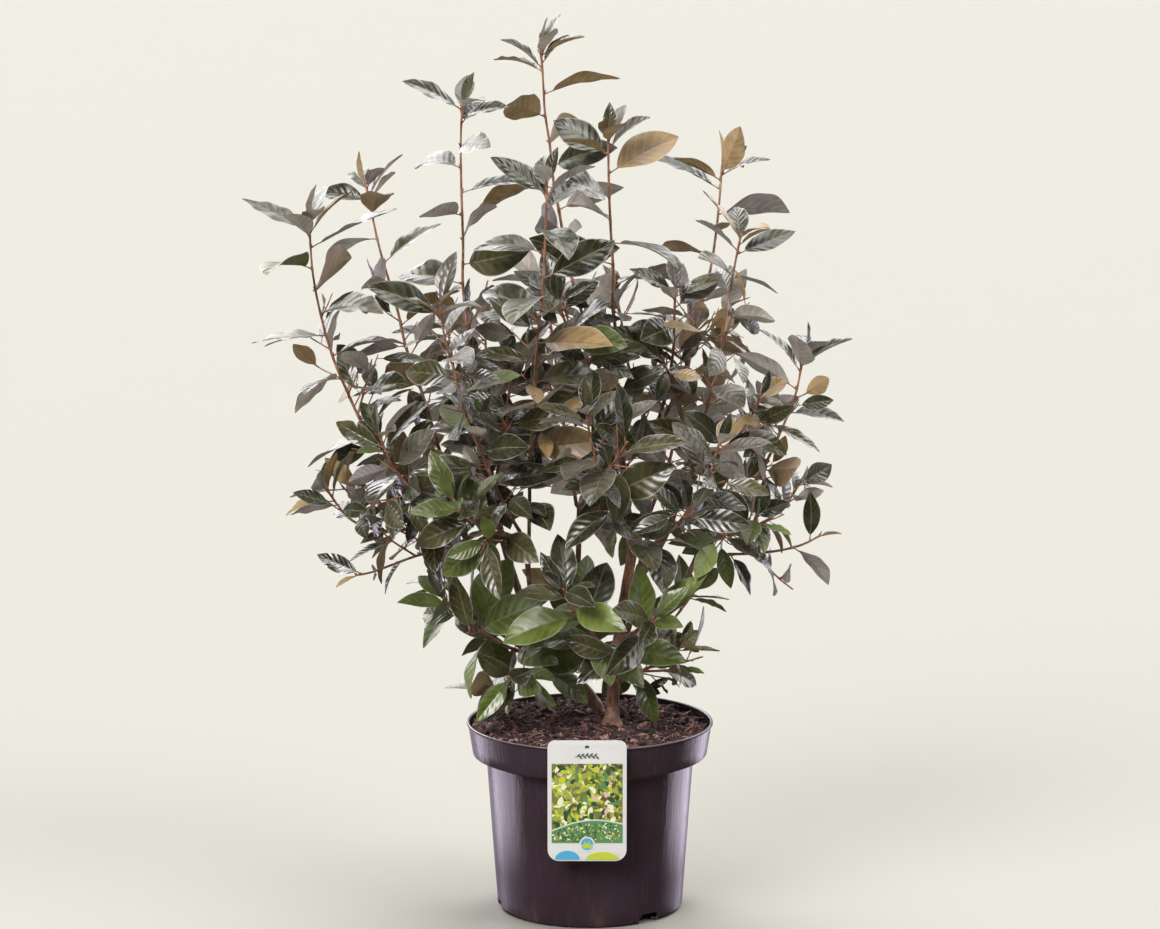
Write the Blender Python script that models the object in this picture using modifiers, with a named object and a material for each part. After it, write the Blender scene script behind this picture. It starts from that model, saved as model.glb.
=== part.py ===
"""Potted elaeagnus: a shrub of two stems, forked boughs and leafy shoots in a round nursery pot.

Metres, +Z up. The origin is the centre of the pot's flat underside, and the front, with the
label, faces -Y. The shrub stands on the compost; each shoot is one mass of foliage.
"""
import math
import random
from collections import namedtuple

import bpy
import bmesh
from mathutils import Matrix, Vector
from mathutils.bvhtree import BVHTree

# Clearance between pieces that touch, and the distance within which a tube's cap corners weld
GAP = 0.0003
WELD = 0.000002

# Pot
POT_HEIGHT = 0.215
RIM_R = 0.140
BAND_HEIGHT = 0.037
BAND_FOOT_R = 0.1335
BODY_TOP_R = 0.1180
BODY_FOOT_R = 0.1055
WALL = 0.0020
FLOOR = 0.0025
LIP_HEIGHT = 0.0030
LIP_OUT = 0.0012
EDGE_ROUND = 0.0007
FOOT_ROUND = 0.0018
INNER_ROUND = 0.0020
POT_STEPS = 36
NOTCH_WIDTH = 0.028
NOTCH_HEIGHT = 0.0105
NOTCH_DEPTH = 0.022
NOTCH_PAST = 0.004
NOTCH_COUNT = 3
NOTCH_FIRST_DEG = -50.4

# Compost in the pot: its top, its edge at the wall, and its toe drawn in over the drain notches
SOIL_Z = 0.2145
SOIL_EDGE_Z = 0.2065
SOIL_FLAT_R = 0.075
SOIL_TOE_R = 0.080
SOIL_TOE_Z = 0.016
SOIL_TOE_FALL = 0.003
SOIL_ROUND = 0.001

# Label card hooked over the rim
CARD_WIDTH = 0.088
CARD_HEIGHT = 0.138
CARD_THICK = 0.0010
CARD_TOP_Z = 0.2258
CARD_X = -0.0033
CARD_TOP_CORNER = 0.008
CARD_FOOT_CORNER = 0.013
CARD_HOLE_R = 0.0026
CARD_HOLE_DROP = 0.008
CORNER_STEPS = 5
HOLE_STEPS = 12
HOOK_WIDTH = 0.016
HOOK_THICK = 0.0012
HOOK_DROP = 0.0075
HOOK_STEP = 0.002

# Limbs: two stems from the compost, then the boughs that grow from them.
# at is the share of the stem's length where a bough leaves it, and 1 is the stem's tip.
# low and high bend the lower and the upper part of the limb off the straight line.
Limb = namedtuple("Limb", "name parent at tip low high r_foot r_tip")
STEM_FEET = {"stem_left": (0.007, 0.045), "stem_right": (0.025, -0.015)}
STEMS = (
    Limb("stem_left", None, 0, (-0.079, 0.022, 0.300), (0.024, 0.006, 0.012), (0.006, 0.004, -0.014),
         0.0072, 0.0058),
    Limb("stem_right", None, 0, (0.047, -0.018, 0.410), (-0.006, 0.0, 0.004), (-0.002, 0.004, 0.006),
         0.0074, 0.0056),
)
BOUGHS = (
    Limb("bough_left", "stem_left", 1.0, (-0.150, -0.008, 0.448), (0.002, 0.0, -0.006),
         (0.004, 0.0, -0.006), 0.0048, 0.0036),
    Limb("bough_middle", "stem_left", 0.86, (-0.110, 0.012, 0.478), (-0.004, 0.016, 0.006),
         (-0.010, 0.008, 0.004), 0.0040, 0.0032),
    Limb("bough_front", "stem_left", 0.70, (-0.072, -0.070, 0.440), (-0.006, -0.018, -0.004),
         (-0.004, -0.018, -0.012), 0.0038, 0.0030),
    Limb("bough_back_left", "stem_left", 0.78, (-0.105, 0.105, 0.430), (0.004, 0.020, -0.006),
         (-0.004, 0.016, -0.010), 0.0038, 0.0030),
    Limb("bough_back", "stem_left", 0.52, (-0.012, 0.118, 0.440), (0.010, 0.018, -0.010),
         (0.006, 0.018, -0.014), 0.0038, 0.0030),
    Limb("bough_centre", "stem_right", 1.0, (0.024, -0.016, 0.590), (0.002, 0.002, 0.004),
         (0.004, 0.002, 0.004), 0.0046, 0.0034),
    Limb("bough_right", "stem_right", 0.84, (0.106, -0.012, 0.505), (0.010, 0.0, -0.006),
         (0.010, 0.0, -0.012), 0.0038, 0.0030),
    Limb("bough_right_back", "stem_right", 0.93, (0.072, 0.052, 0.535), (0.004, 0.014, -0.004),
         (0.004, 0.010, -0.008), 0.0036, 0.0028),
    Limb("bough_right_low", "stem_right", 0.50, (0.128, 0.010, 0.425), (0.014, 0.006, -0.012),
         (0.014, 0.004, -0.016), 0.0038, 0.0030),
    Limb("bough_back_right", "stem_right", 0.38, (0.070, 0.104, 0.430), (0.006, 0.022, -0.010),
         (0.004, 0.018, -0.014), 0.0038, 0.0030),
    Limb("bough_front_right", "stem_right", 0.62, (0.058, -0.092, 0.430), (0.004, -0.018, -0.008),
         (0.002, -0.018, -0.012), 0.0036, 0.0028),
)

# Shoots: each is a mass of foliage, one stem with its twigs and leaves.
# leaf is the length of its middle leaves, twigs the number of side twigs, and seed starts its rule.
Shoot = namedtuple("Shoot", "name limb at tip low high leaf twigs seed")
SHOOTS = (
    Shoot("shoot_top", "bough_centre", 1.0, (-0.055, 0.055, 0.972), (-0.030, 0.030, 0.000),
          (-0.020, 0.020, 0.020), 0.094, 0, 27),
    Shoot("shoot_left_tall", "bough_middle", 1.0, (-0.141, -0.055, 0.925), (-0.018, -0.014, -0.010),
          (-0.014, -0.010, 0.010), 0.094, 0, 27),
    Shoot("shoot_centre", "bough_centre", 1.0, (0.020, -0.060, 0.890), (0.006, -0.020, -0.010),
          (-0.004, -0.010, 0.010), 0.094, 0, 2),
    Shoot("shoot_front_tall", "bough_front", 1.0, (-0.047, -0.140, 0.850), (-0.006, -0.020, -0.010),
          (0.002, -0.012, 0.000), 0.099, 0, 43),
    Shoot("shoot_left_outer", "bough_left", 1.0, (-0.313, -0.020, 0.790), (-0.040, -0.006, -0.030),
          (-0.044, 0.000, -0.076), 0.108, 1, 28),
    Shoot("shoot_left_inner", "bough_left", 1.0, (-0.255, 0.125, 0.812), (-0.004, 0.030, 0.000),
          (-0.014, 0.012, 0.004), 0.094, 0, 43),
    Shoot("shoot_right_back", "bough_right_back", 1.0, (0.151, 0.140, 0.834), (0.020, 0.008, -0.020),
          (0.022, 0.004, 0.000), 0.094, 1, 22),
    Shoot("shoot_right", "bough_right", 1.0, (0.168, -0.028, 0.778), (0.014, -0.004, 0.000),
          (0.002, 0.000, -0.020), 0.094, 0, 20),
    Shoot("shoot_right_outer", "bough_right_low", 1.0, (0.241, 0.030, 0.632), (0.016, 0.000, -0.034),
          (0.020, 0.000, -0.030), 0.097, 1, 15),
    Shoot("shoot_right_tip", "bough_right_low", 1.0, (0.238, -0.030, 0.500), (0.016, -0.008, -0.016),
          (0.018, -0.004, -0.022), 0.068, 0, 30),
    Shoot("shoot_left_low", "bough_left", 1.0, (-0.297, -0.036, 0.492), (-0.016, -0.010, -0.026),
          (-0.016, -0.006, -0.050), 0.085, 2, 20),
    Shoot("shoot_front_left", "bough_front", 1.0, (-0.164, -0.176, 0.724), (-0.010, -0.016, -0.020),
          (-0.016, -0.006, -0.010), 0.099, 1, 33),
    Shoot("shoot_front_centre", "bough_front_right", 1.0, (-0.004, -0.165, 0.600), (-0.008, -0.016, -0.010),
          (-0.010, -0.010, -0.010), 0.099, 1, 43),
    Shoot("shoot_front_right", "bough_front_right", 1.0, (0.142, -0.130, 0.560), (0.012, -0.012, -0.014),
          (0.014, -0.006, -0.016), 0.094, 1, 32),
    Shoot("shoot_front_low", "bough_front", 1.0, (-0.150, -0.150, 0.500), (-0.010, -0.020, -0.006),
          (-0.012, -0.010, -0.012), 0.094, 1, 29),
    Shoot("shoot_mid_left", "bough_left", 1.0, (-0.235, -0.075, 0.560), (-0.012, -0.014, -0.012),
          (-0.014, -0.006, -0.020), 0.094, 1, 38),
    Shoot("shoot_mid_right", "bough_right", 1.0, (0.190, -0.060, 0.600), (0.012, -0.010, -0.012),
          (0.014, -0.004, -0.014), 0.082, 1, 28),
    Shoot("shoot_right_front", "bough_right_low", 1.0, (0.185, -0.090, 0.470), (0.010, -0.016, -0.008),
          (0.012, -0.008, -0.012), 0.082, 1, 19),
    Shoot("shoot_back_high", "bough_back", 1.0, (-0.050, 0.185, 0.700), (0.000, 0.022, -0.010),
          (-0.004, 0.014, -0.010), 0.094, 1, 3),
    Shoot("shoot_back_mid", "bough_back", 1.0, (0.015, 0.225, 0.540), (0.004, 0.022, -0.016),
          (0.004, 0.010, -0.024), 0.094, 1, 41),
    Shoot("shoot_back_left_high", "bough_back_left", 1.0, (-0.165, 0.185, 0.640), (-0.010, 0.016, -0.012),
          (-0.012, 0.010, -0.012), 0.094, 1, 18),
    Shoot("shoot_back_left_low", "bough_back_left", 1.0, (-0.215, 0.130, 0.490), (-0.014, 0.010, -0.012),
          (-0.016, 0.006, -0.020), 0.094, 0, 36),
    Shoot("shoot_back_right_high", "bough_back_right", 1.0, (0.120, 0.190, 0.640), (0.010, 0.018, -0.012),
          (0.010, 0.010, -0.012), 0.094, 1, 2),
    Shoot("shoot_back_right_low", "bough_back_right", 1.0, (0.185, 0.150, 0.480), (0.014, 0.012, -0.012),
          (0.014, 0.006, -0.020), 0.070, 1, 38),
    Shoot("shoot_low_left", "stem_left", 0.92, (-0.165, -0.060, 0.372), (-0.010, -0.016, -0.004),
          (-0.012, -0.008, -0.006), 0.094, 1, 43),
    Shoot("shoot_low_back_left", "stem_left", 0.88, (-0.175, 0.085, 0.365), (-0.012, 0.012, 0.000),
          (-0.012, 0.006, -0.008), 0.082, 1, 42),
    Shoot("shoot_foot_left", "stem_left", 0.62, (-0.092, -0.070, 0.280), (-0.006, -0.014, 0.004),
          (-0.010, -0.006, 0.004), 0.094, 1, 6),
    Shoot("shoot_low_front", "stem_right", 0.42, (-0.030, -0.150, 0.400), (-0.006, -0.016, 0.000),
          (-0.008, -0.010, -0.008), 0.094, 1, 8),
    Shoot("shoot_low_front_right", "stem_right", 0.46, (0.070, -0.160, 0.370), (0.006, -0.016, 0.000),
          (0.006, -0.010, -0.010), 0.094, 1, 40),
    Shoot("shoot_foot_right", "stem_right", 0.26, (0.104, -0.050, 0.314), (0.010, -0.006, 0.004),
          (0.010, -0.004, 0.000), 0.070, 1, 4),
    Shoot("shoot_low_back_right", "stem_right", 0.30, (0.122, 0.080, 0.350), (0.012, 0.012, 0.004),
          (0.012, 0.008, 0.000), 0.070, 1, 36),
    Shoot("shoot_low_back", "stem_left", 0.30, (-0.020, 0.160, 0.330), (0.000, 0.016, 0.004),
          (0.000, 0.010, 0.000), 0.094, 1, 6),
    Shoot("shoot_mid_front", "bough_middle", 1.0, (-0.085, -0.105, 0.650), (0.000, -0.026, -0.004),
          (0.000, -0.014, -0.008), 0.094, 1, 43),
    Shoot("shoot_mid_centre", "bough_centre", 1.0, (-0.035, -0.110, 0.715), (-0.012, -0.016, -0.006),
          (-0.006, -0.012, -0.008), 0.094, 1, 33),
    Shoot("shoot_mid_back", "bough_middle", 1.0, (-0.120, 0.105, 0.670), (-0.004, 0.020, -0.004),
          (-0.004, 0.012, -0.006), 0.094, 0, 35),
    Shoot("shoot_centre_right", "bough_right_back", 1.0, (0.095, -0.035, 0.720), (0.012, -0.016, -0.004),
          (0.008, -0.008, -0.004), 0.082, 1, 22),
    Shoot("shoot_centre_back", "bough_right_back", 1.0, (0.030, 0.130, 0.690), (-0.008, 0.014, -0.006),
          (-0.006, 0.012, -0.006), 0.082, 1, 31),
)

# Root flare of a stem: its rise, and how much wider the stem is at the compost and at that height
FLARE_RISE = 0.006
FLARE_FOOT = 1.50
FLARE_TOP = 1.22
STEM_STEPS = 8
BOUGH_STEPS = 6

# Seating of a shoot's foot: the length that bends in to the limb, how far under its tip it
# aims, the halvings of the way, and the reach and the parts of an edge in the search
KNEE = 0.010
SEAT_SINK = 0.002
SEAT_STEPS = 7
SEAT_SEARCH = 0.020
EDGE_PARTS = 6

# Growth rule of a shoot's stem and twigs
SHOOT_FOOT_R = 0.0022
SHOOT_TIP_R = 0.0011
TWIG_R = 0.0013
TWIG_TIP_R = 0.00088
TRIANGLE = 1.5
STEM_PIECE = 0.040
STEM_WANDER = 0.0014
TWIG_LENGTH = 0.062
TWIG_SPREAD = math.radians(48)
TWIG_LOW, TWIG_HIGH = 0.25, 0.60
TWIG_VARY = 0.2
TWIG_LIFT = 0.12
TWIG_SAG = 0.004
TWIG_STEPS = 3
TWIG_TRIES = 6
TWIG_START = 0.3

# Growth rule of the leaves: the bare foot of a stem and of a twig as shares of its length,
# the steps between leaves, their turn round the twig, spread from it, length and form.
# Within TIP_REACH of a tip they stand closer, steeper and shorter.
TIP_REACH = 0.055
BARE_SHARE = 0.10
BARE_TWIG = 0.34
NODE_LOW = 0.025
NODE_HIGH = 0.012
NODE_VARY = 0.15
TURN = math.radians(137.5)
TURN_VARY = 0.16
SPREAD_LOW = math.radians(68)
SPREAD_HIGH = math.radians(46)
SPREAD_VARY = 0.12
LENGTH_LOW, LENGTH_HIGH = 0.80, 1.16
TIP_SHORTER = 0.22
LEAF_SLIM = 0.37
LEAF_BROAD = 0.49
YOUNG_SLIM = 0.84
BEND_LOW, BEND_HIGH = 0.30, 0.95
FOLD_LOW, FOLD_HIGH = 0.10, 0.38
TWIST_MOST = 0.45
LEAF_ROLL = 0.50
LIGHT_STEM = 0.40
LIGHT_SKY = 0.35
LIGHT_SIDE = 0.55
LIGHT_FRONT = 0.010
FORWARD = Vector((0, -1, 0.2))
ASKEW = Vector((0.3, 0.9, 0.2))
PETIOLE = 0.12
LEAF_THICK = 0.018
ROOT_SHARE = 0.36

# The last leaf of a twig goes straight on from its tip
TIP_LEAF = 0.45
TIP_SLIM = 0.36
TIP_BEND = 0.35
TIP_FOLD = 0.30
TIP_TWIST = 0.30
TIP_ROLL = 0.30
TIP_SPREAD = 0.16
TIP_BACK = 0.003

# Clearance kept in the growth, the height that no leaf goes below, and what is tried in turn
# where a leaf has no room: degrees round the twig, and its length as a share
TEST_FAT = 0.0010
FLOOR_Z = 0.2230
TRIES = ((0, 1.0), (26, 1.0), (-26, 1.0), (52, 0.92), (-52, 0.92), (80, 0.85), (-80, 0.85),
         (110, 0.75))

# Corners of a leaf's outline: where along it, and how far out beyond the true outline
OUTLINE_U = (0.32, 0.66)
OUTLINE_WIDEN = 1.10

Leaf = namedtuple("Leaf", "root along up length width bend fold twist core young")


def bezier(points, t):
    """Point of a cubic curve with the four control points."""
    p0, p1, p2, p3 = points
    s = 1 - t
    return p0 * s ** 3 + p1 * (3 * s * s * t) + p2 * (3 * s * t * t) + p3 * t ** 3


def curve_points(foot, tip, low, high, count):
    """Points of a limb from foot to tip, bent by low and high."""
    control = (foot, foot.lerp(tip, 1 / 3) + low, foot.lerp(tip, 2 / 3) + high, tip)
    return [bezier(control, k / count) for k in range(count + 1)]


def path_length(path):
    return sum((b - a).length for a, b in zip(path, path[1:]))


def path_at(path, radii, share):
    """Point, direction and radius at a share of the path's length."""
    goal = share * path_length(path)
    for k in range(len(path) - 1):
        step = (path[k + 1] - path[k]).length
        if goal <= step or k == len(path) - 2:
            part = min(goal / step, 1.0)
            direction = (path[k + 1] - path[k]).normalized()
            return path[k].lerp(path[k + 1], part), direction, radii[k] + (radii[k + 1] - radii[k]) * part
        goal -= step


def across(vector, axis):
    """The part of a vector at right angles to the axis, at unit length."""
    flat = vector - axis * vector.dot(axis)
    return flat.normalized()


def foot_on_side(host, share, tip, low, radius):
    """Foot of a limb on the side of its host, clear of it by the gap."""
    point, direction, host_r = path_at(*host, share)
    launch = ((tip - point) / 3 + low).normalized()
    outward = across(launch, direction)
    return point + outward * (host_r + GAP + radius * abs(launch.dot(direction)))


def feet_on_tip(host, tips, lows, radius):
    """Feet of the limbs that share their host's tip, spread round it clear of each other."""
    point, direction = host[0][-1], (host[0][-1] - host[0][-2]).normalized()
    launches = [((tip - point) / 3 + low).normalized() for tip, low in zip(tips, lows)]
    count = len(tips)
    first = across(launches[0], direction)
    other = direction.cross(first)
    angles = [math.atan2(launch.dot(other), launch.dot(first)) % math.tau for launch in launches]
    order = sorted(range(count), key=lambda k: angles[k])
    ring = 0 if count == 1 else (radius + GAP) / math.sin(math.pi / count)
    slot = sum(angles[k] - math.tau * place / count for place, k in enumerate(order)) / count
    feet = [None] * count
    for place, k in enumerate(order):
        angle = slot + math.tau * place / count
        outward = first * math.cos(angle) + other * math.sin(angle)
        lift = GAP + radius * math.sqrt(max(0.0, 1 - launches[k].dot(direction) ** 2))
        feet[k] = point + direction * lift + outward * ring
    return feet


def taper(r_foot, r_tip, count):
    return [r_foot + (r_tip - r_foot) * k / count for k in range(count + 1)]


def grow_limbs():
    """The stems and boughs as {name: (path, radii)}."""
    limbs = {}
    for limb in STEMS:
        foot = Vector((*STEM_FEET[limb.name], SOIL_Z + GAP))
        path = curve_points(foot, Vector(limb.tip), Vector(limb.low), Vector(limb.high), STEM_STEPS)
        path.insert(1, foot + Vector((0, 0, FLARE_RISE)))
        radii = taper(limb.r_foot, limb.r_tip, STEM_STEPS + 1)
        radii[0] *= FLARE_FOOT
        radii[1] *= FLARE_TOP
        limbs[limb.name] = (path, radii)
    for limb in BOUGHS:
        host, tip, low = limbs[limb.parent], Vector(limb.tip), Vector(limb.low)
        if limb.at == 1:
            foot = feet_on_tip(host, [tip], [low], limb.r_foot)[0]
        else:
            foot = foot_on_side(host, limb.at, tip, low, limb.r_foot)
        path = curve_points(foot, tip, low, Vector(limb.high), BOUGH_STEPS)
        limbs[limb.name] = (path, taper(limb.r_foot, limb.r_tip, BOUGH_STEPS))
    return limbs


def shoot_feet(limbs):
    """Foot of every shoot, on its bough's tip or on the side of a stem."""
    feet = {}
    radius = SHOOT_FOOT_R * TRIANGLE
    for host_name in limbs:
        on_tip = [s for s in SHOOTS if s.limb == host_name and s.at == 1]
        if on_tip:
            tips = [Vector(s.tip) for s in on_tip]
            found = feet_on_tip(limbs[host_name], tips, [Vector(s.low) for s in on_tip], radius)
            feet.update({s.name: foot for s, foot in zip(on_tip, found)})
    for s in SHOOTS:
        if s.at < 1:
            feet[s.name] = foot_on_side(limbs[s.limb], s.at, Vector(s.tip), Vector(s.low), radius)
    return feet


def leaf_point(leaf, u, v, lift=0.0):
    """Point of a leaf: u from root to tip, v from edge to edge (-1 to 1), lift off its middle plane."""
    side = leaf.along.cross(leaf.up)
    angle = leaf.bend * u
    reach = leaf.length / leaf.bend
    middle = leaf.root + leaf.along * (math.sin(angle) * reach) - leaf.up * ((1 - math.cos(angle)) * reach)
    normal = leaf.up * math.cos(angle) + leaf.along * math.sin(angle)
    turn = leaf.twist * u
    over = side * math.cos(turn) + normal * math.sin(turn)
    normal = normal * math.cos(turn) - side * math.sin(turn)
    half = leaf.width / 2 * blade_shape(u) * v
    return middle + over * (half * math.cos(leaf.fold)) + normal * (abs(half) * math.sin(leaf.fold) + lift)


def blade_shape(u):
    """Half width of a leaf as a share of its widest, along its length."""
    if u <= PETIOLE or u >= 1:
        return 0.0
    return math.sin(math.pi * ((u - PETIOLE) / (1 - PETIOLE)) ** 0.9) ** 0.9


def leaf_body(leaf, fat=0.0):
    """Corners and faces of a leaf as a closed solid with a folded middle."""
    thick = leaf.length * LEAF_THICK / 2 + fat
    widen = OUTLINE_WIDEN * (1 + fat / leaf.width)
    first, second = OUTLINE_U
    corners = [leaf.root + leaf.up * (leaf.core + fat), leaf.root - leaf.up * (leaf.core + fat),
               leaf_point(leaf, first, -widen), leaf_point(leaf, second, -widen), leaf_point(leaf, 1, 0),
               leaf_point(leaf, second, widen), leaf_point(leaf, first, widen),
               leaf_point(leaf, 0.5, 0, thick), leaf_point(leaf, 0.5, 0, -thick)]
    top, under, tip_fold, back_fold = 0, 1, 7, 8
    rim = (2, 3, 4, 5, 6)
    faces = []
    for a, b in zip((top, *rim), (*rim, top)):
        faces.append((tip_fold, b, a))
    for a, b in zip((under, *rim), (*rim, under)):
        faces.append((back_fold, a, b))
    faces.append((under, top, rim[0]))
    faces.append((top, under, rim[-1]))
    return corners, faces


def tube_body(path, radii, sides=4, fat=0.0):
    """Corners and faces of a plain tube along a path, for the clearance tests."""
    corners, faces = [], []
    across_axis = across(ASKEW, (path[1] - path[0]).normalized())
    for k, point in enumerate(path):
        direction = (path[min(k + 1, len(path) - 1)] - path[max(k - 1, 0)]).normalized()
        across_axis = across(across_axis, direction)
        other = direction.cross(across_axis)
        for j in range(sides):
            angle = math.tau * j / sides
            ray = across_axis * math.cos(angle) + other * math.sin(angle)
            corners.append(point + ray * (radii[k] + fat))
    for k in range(len(path) - 1):
        for j in range(sides):
            a, b = k * sides + j, k * sides + (j + 1) % sides
            faces.append((a, b, b + sides, a + sides))
    return corners, faces


class Space:
    """What has grown so far, to keep new growth clear of it."""

    def __init__(self):
        self.taken = []

    def add(self, body):
        corners, faces = body
        low = [min(c[i] for c in corners) for i in range(3)]
        high = [max(c[i] for c in corners) for i in range(3)]
        self.taken.append((low, high, BVHTree.FromPolygons(corners, faces)))
        return len(self.taken) - 1

    def is_free(self, body, skip=()):
        corners, faces = body
        low = [min(c[i] for c in corners) for i in range(3)]
        high = [max(c[i] for c in corners) for i in range(3)]
        tree = None
        for place, (other_low, other_high, other) in enumerate(self.taken):
            if place in skip:
                continue
            if any(low[i] > other_high[i] or high[i] < other_low[i] for i in range(3)):
                continue
            if tree is None:
                tree = BVHTree.FromPolygons(corners, faces)
            if tree.overlap(other):
                return False
        return True


def place_leaf(space, host, point, direction, azimuth, spread, length, radius, draw):
    """A leaf at a point of a twig, turned aside or shortened until it is clear, or None."""
    sideways = across(FORWARD, direction)
    other = direction.cross(sideways)
    slim, bend, fold, twist, roll, young = draw
    for extra, scale in TRIES:
        angle = azimuth + math.radians(extra)
        outward = sideways * math.cos(angle) + other * math.sin(angle)
        along = (direction * math.cos(spread) + outward * math.sin(spread)).normalized()
        light = Vector((point.x, point.y - LIGHT_FRONT, 0)).normalized() * LIGHT_SIDE
        up = across(direction * LIGHT_STEM + Vector((0, 0, LIGHT_SKY)) + light, along)
        up = Matrix.Rotation(roll, 3, along) @ up
        leaf = Leaf(point, along, up, length * scale, length * scale * slim, bend, fold, twist,
                    radius * ROOT_SHARE, young)
        corners, faces = leaf_body(leaf, TEST_FAT)
        if min(c.z for c in corners) < FLOOR_Z:
            continue
        blade = corners[:]
        blade[0] = point + along * (radius * 2 + TEST_FAT) + up * TEST_FAT
        blade[1] = blade[0] - up * (2 * TEST_FAT)
        if space.is_free((corners, faces), skip=(host,)) and space.is_free((blade, faces)):
            space.add((corners, faces))
            return leaf
    return None


def leaves_on(space, host, path, radii, shoot, rng, first):
    """Leaves of one twig, spaced and turned by the rule, from first along it to its tip."""
    leaves = []
    total = path_length(path)
    along, azimuth = first * total, rng.uniform(0, math.tau)
    while along < total - TIP_BACK - 0.001:
        share = along / total
        point, direction, radius = path_at(path, radii, share)
        near_tip = max(0.0, 1 - (total - along) / TIP_REACH)
        spread = SPREAD_LOW + (SPREAD_HIGH - SPREAD_LOW) * near_tip + rng.gauss(0, SPREAD_VARY)
        length = shoot.leaf * (1 - TIP_SHORTER * near_tip) * rng.uniform(LENGTH_LOW, LENGTH_HIGH)
        slim = rng.uniform(LEAF_SLIM, LEAF_BROAD) * (1 - (1 - YOUNG_SLIM) * near_tip)
        bend = rng.uniform(BEND_LOW, BEND_HIGH) * (1 - near_tip / 2)
        fold = rng.uniform(FOLD_LOW, FOLD_HIGH)
        twist = rng.uniform(-TWIST_MOST, TWIST_MOST)
        draw = (slim, bend, fold, twist, rng.gauss(0, LEAF_ROLL), near_tip)
        leaf = place_leaf(space, host, point, direction, azimuth, spread, length, radius, draw)
        if leaf:
            leaves.append(leaf)
        azimuth += TURN + rng.gauss(0, TURN_VARY)
        step = NODE_LOW + (NODE_HIGH - NODE_LOW) * near_tip
        along += step * rng.uniform(1 - NODE_VARY, 1 + NODE_VARY)
    point, direction, radius = path_at(path, radii, 1 - TIP_BACK / total)
    draw = (TIP_SLIM, TIP_BEND, TIP_FOLD, rng.uniform(-TIP_TWIST, TIP_TWIST), rng.gauss(0, TIP_ROLL), 1.0)
    length = shoot.leaf * TIP_LEAF
    leaf = place_leaf(space, host, point, direction, azimuth, TIP_SPREAD, length, radius, draw)
    if leaf:
        leaves.append(leaf)
    return leaves


def shoot_stem(shoot, foot):
    """The main stem of a mass of foliage as (path, radii)."""
    rng = random.Random(SHOOTS.index(shoot))
    tip = Vector(shoot.tip)
    count = max(4, round((tip - foot).length / STEM_PIECE))
    path = curve_points(foot, tip, Vector(shoot.low), Vector(shoot.high), count)
    for k in range(2, count):
        path[k] += Vector((rng.uniform(-1, 1), rng.uniform(-1, 1), 0)) * STEM_WANDER
    return path, taper(SHOOT_FOOT_R, SHOOT_TIP_R, count)


def grow_shoot(space, shoot, stem, host):
    """One mass of foliage: its twigs as (path, radii), the main stem first, and its leaves."""
    rng = random.Random(shoot.seed)
    path, radii = stem
    twigs = [stem]
    leaves = leaves_on(space, host, path, radii, shoot, rng, BARE_SHARE)
    for k in range(shoot.twigs):
        share = rng.uniform(TWIG_LOW, TWIG_HIGH)
        point, direction, radius = path_at(path, radii, share)
        angle = rng.uniform(0, math.tau)
        length = TWIG_LENGTH * rng.uniform(1 - TWIG_VARY, 1 + TWIG_VARY)
        for turn in range(TWIG_TRIES):
            sideways = across(FORWARD, direction)
            outward = Matrix.Rotation(angle + math.tau * turn / TWIG_TRIES, 3, direction) @ sideways
            heading = direction * math.cos(TWIG_SPREAD) + outward * math.sin(TWIG_SPREAD)
            end = point + heading * length + Vector((0, 0, length * TWIG_LIFT))
            twig = curve_points(point, end, Vector(), Vector((0, 0, -TWIG_SAG)), TWIG_STEPS)
            twig_radii = taper(TWIG_R, TWIG_TIP_R, TWIG_STEPS)
            start = point.lerp(twig[1], TWIG_START)
            body = tube_body([start, *twig[1:]], [r * TRIANGLE for r in twig_radii], fat=TEST_FAT)
            if space.is_free(body, skip=(host,)):
                own = space.add(tube_body(twig, [r * TRIANGLE for r in twig_radii]))
                twigs.append((twig, twig_radii))
                leaves += leaves_on(space, own, twig, twig_radii, shoot, rng, BARE_TWIG)
                break
    return twigs, leaves


def grow():
    """The whole shrub: limbs as {name: (path, radii)} and masses as {name: (twigs, leaves)}."""
    limbs = grow_limbs()
    feet = shoot_feet(limbs)
    space = Space()
    for path, radii in limbs.values():
        space.add(tube_body(path, radii, sides=6, fat=TEST_FAT))
    stems = [shoot_stem(shoot, feet[shoot.name]) for shoot in SHOOTS]
    hosts = [space.add(tube_body(path, [r * TRIANGLE for r in radii])) for path, radii in stems]
    masses = {}
    for shoot, stem, host in zip(SHOOTS, stems, hosts):
        masses[shoot.name] = grow_shoot(space, shoot, stem, host)
    return limbs, masses


def clear_scene():
    for obj in list(bpy.data.objects):
        bpy.data.objects.remove(obj, do_unlink=True)


def collection(name):
    made = bpy.data.collections.new(name)
    bpy.context.scene.collection.children.link(made)
    return made


def material(name, color, roughness):
    made = bpy.data.materials.new(name)
    made.use_nodes = True
    shader = made.node_tree.nodes["Principled BSDF"]
    shader.inputs["Base Color"].default_value = (*color, 1)
    shader.inputs["Roughness"].default_value = roughness
    return made


def mesh_object(name, mesh, group, look):
    obj = bpy.data.objects.new(name, mesh)
    group.objects.link(obj)
    obj.data.materials.clear()
    obj.data.materials.append(look)
    return obj


def body_mesh(name, body):
    """A mesh from the corners and faces of a body."""
    corners, faces = body
    mesh = bpy.data.meshes.new(name)
    mesh.from_pydata([tuple(c) for c in corners], [], faces)
    mesh.update()
    return mesh


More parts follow.
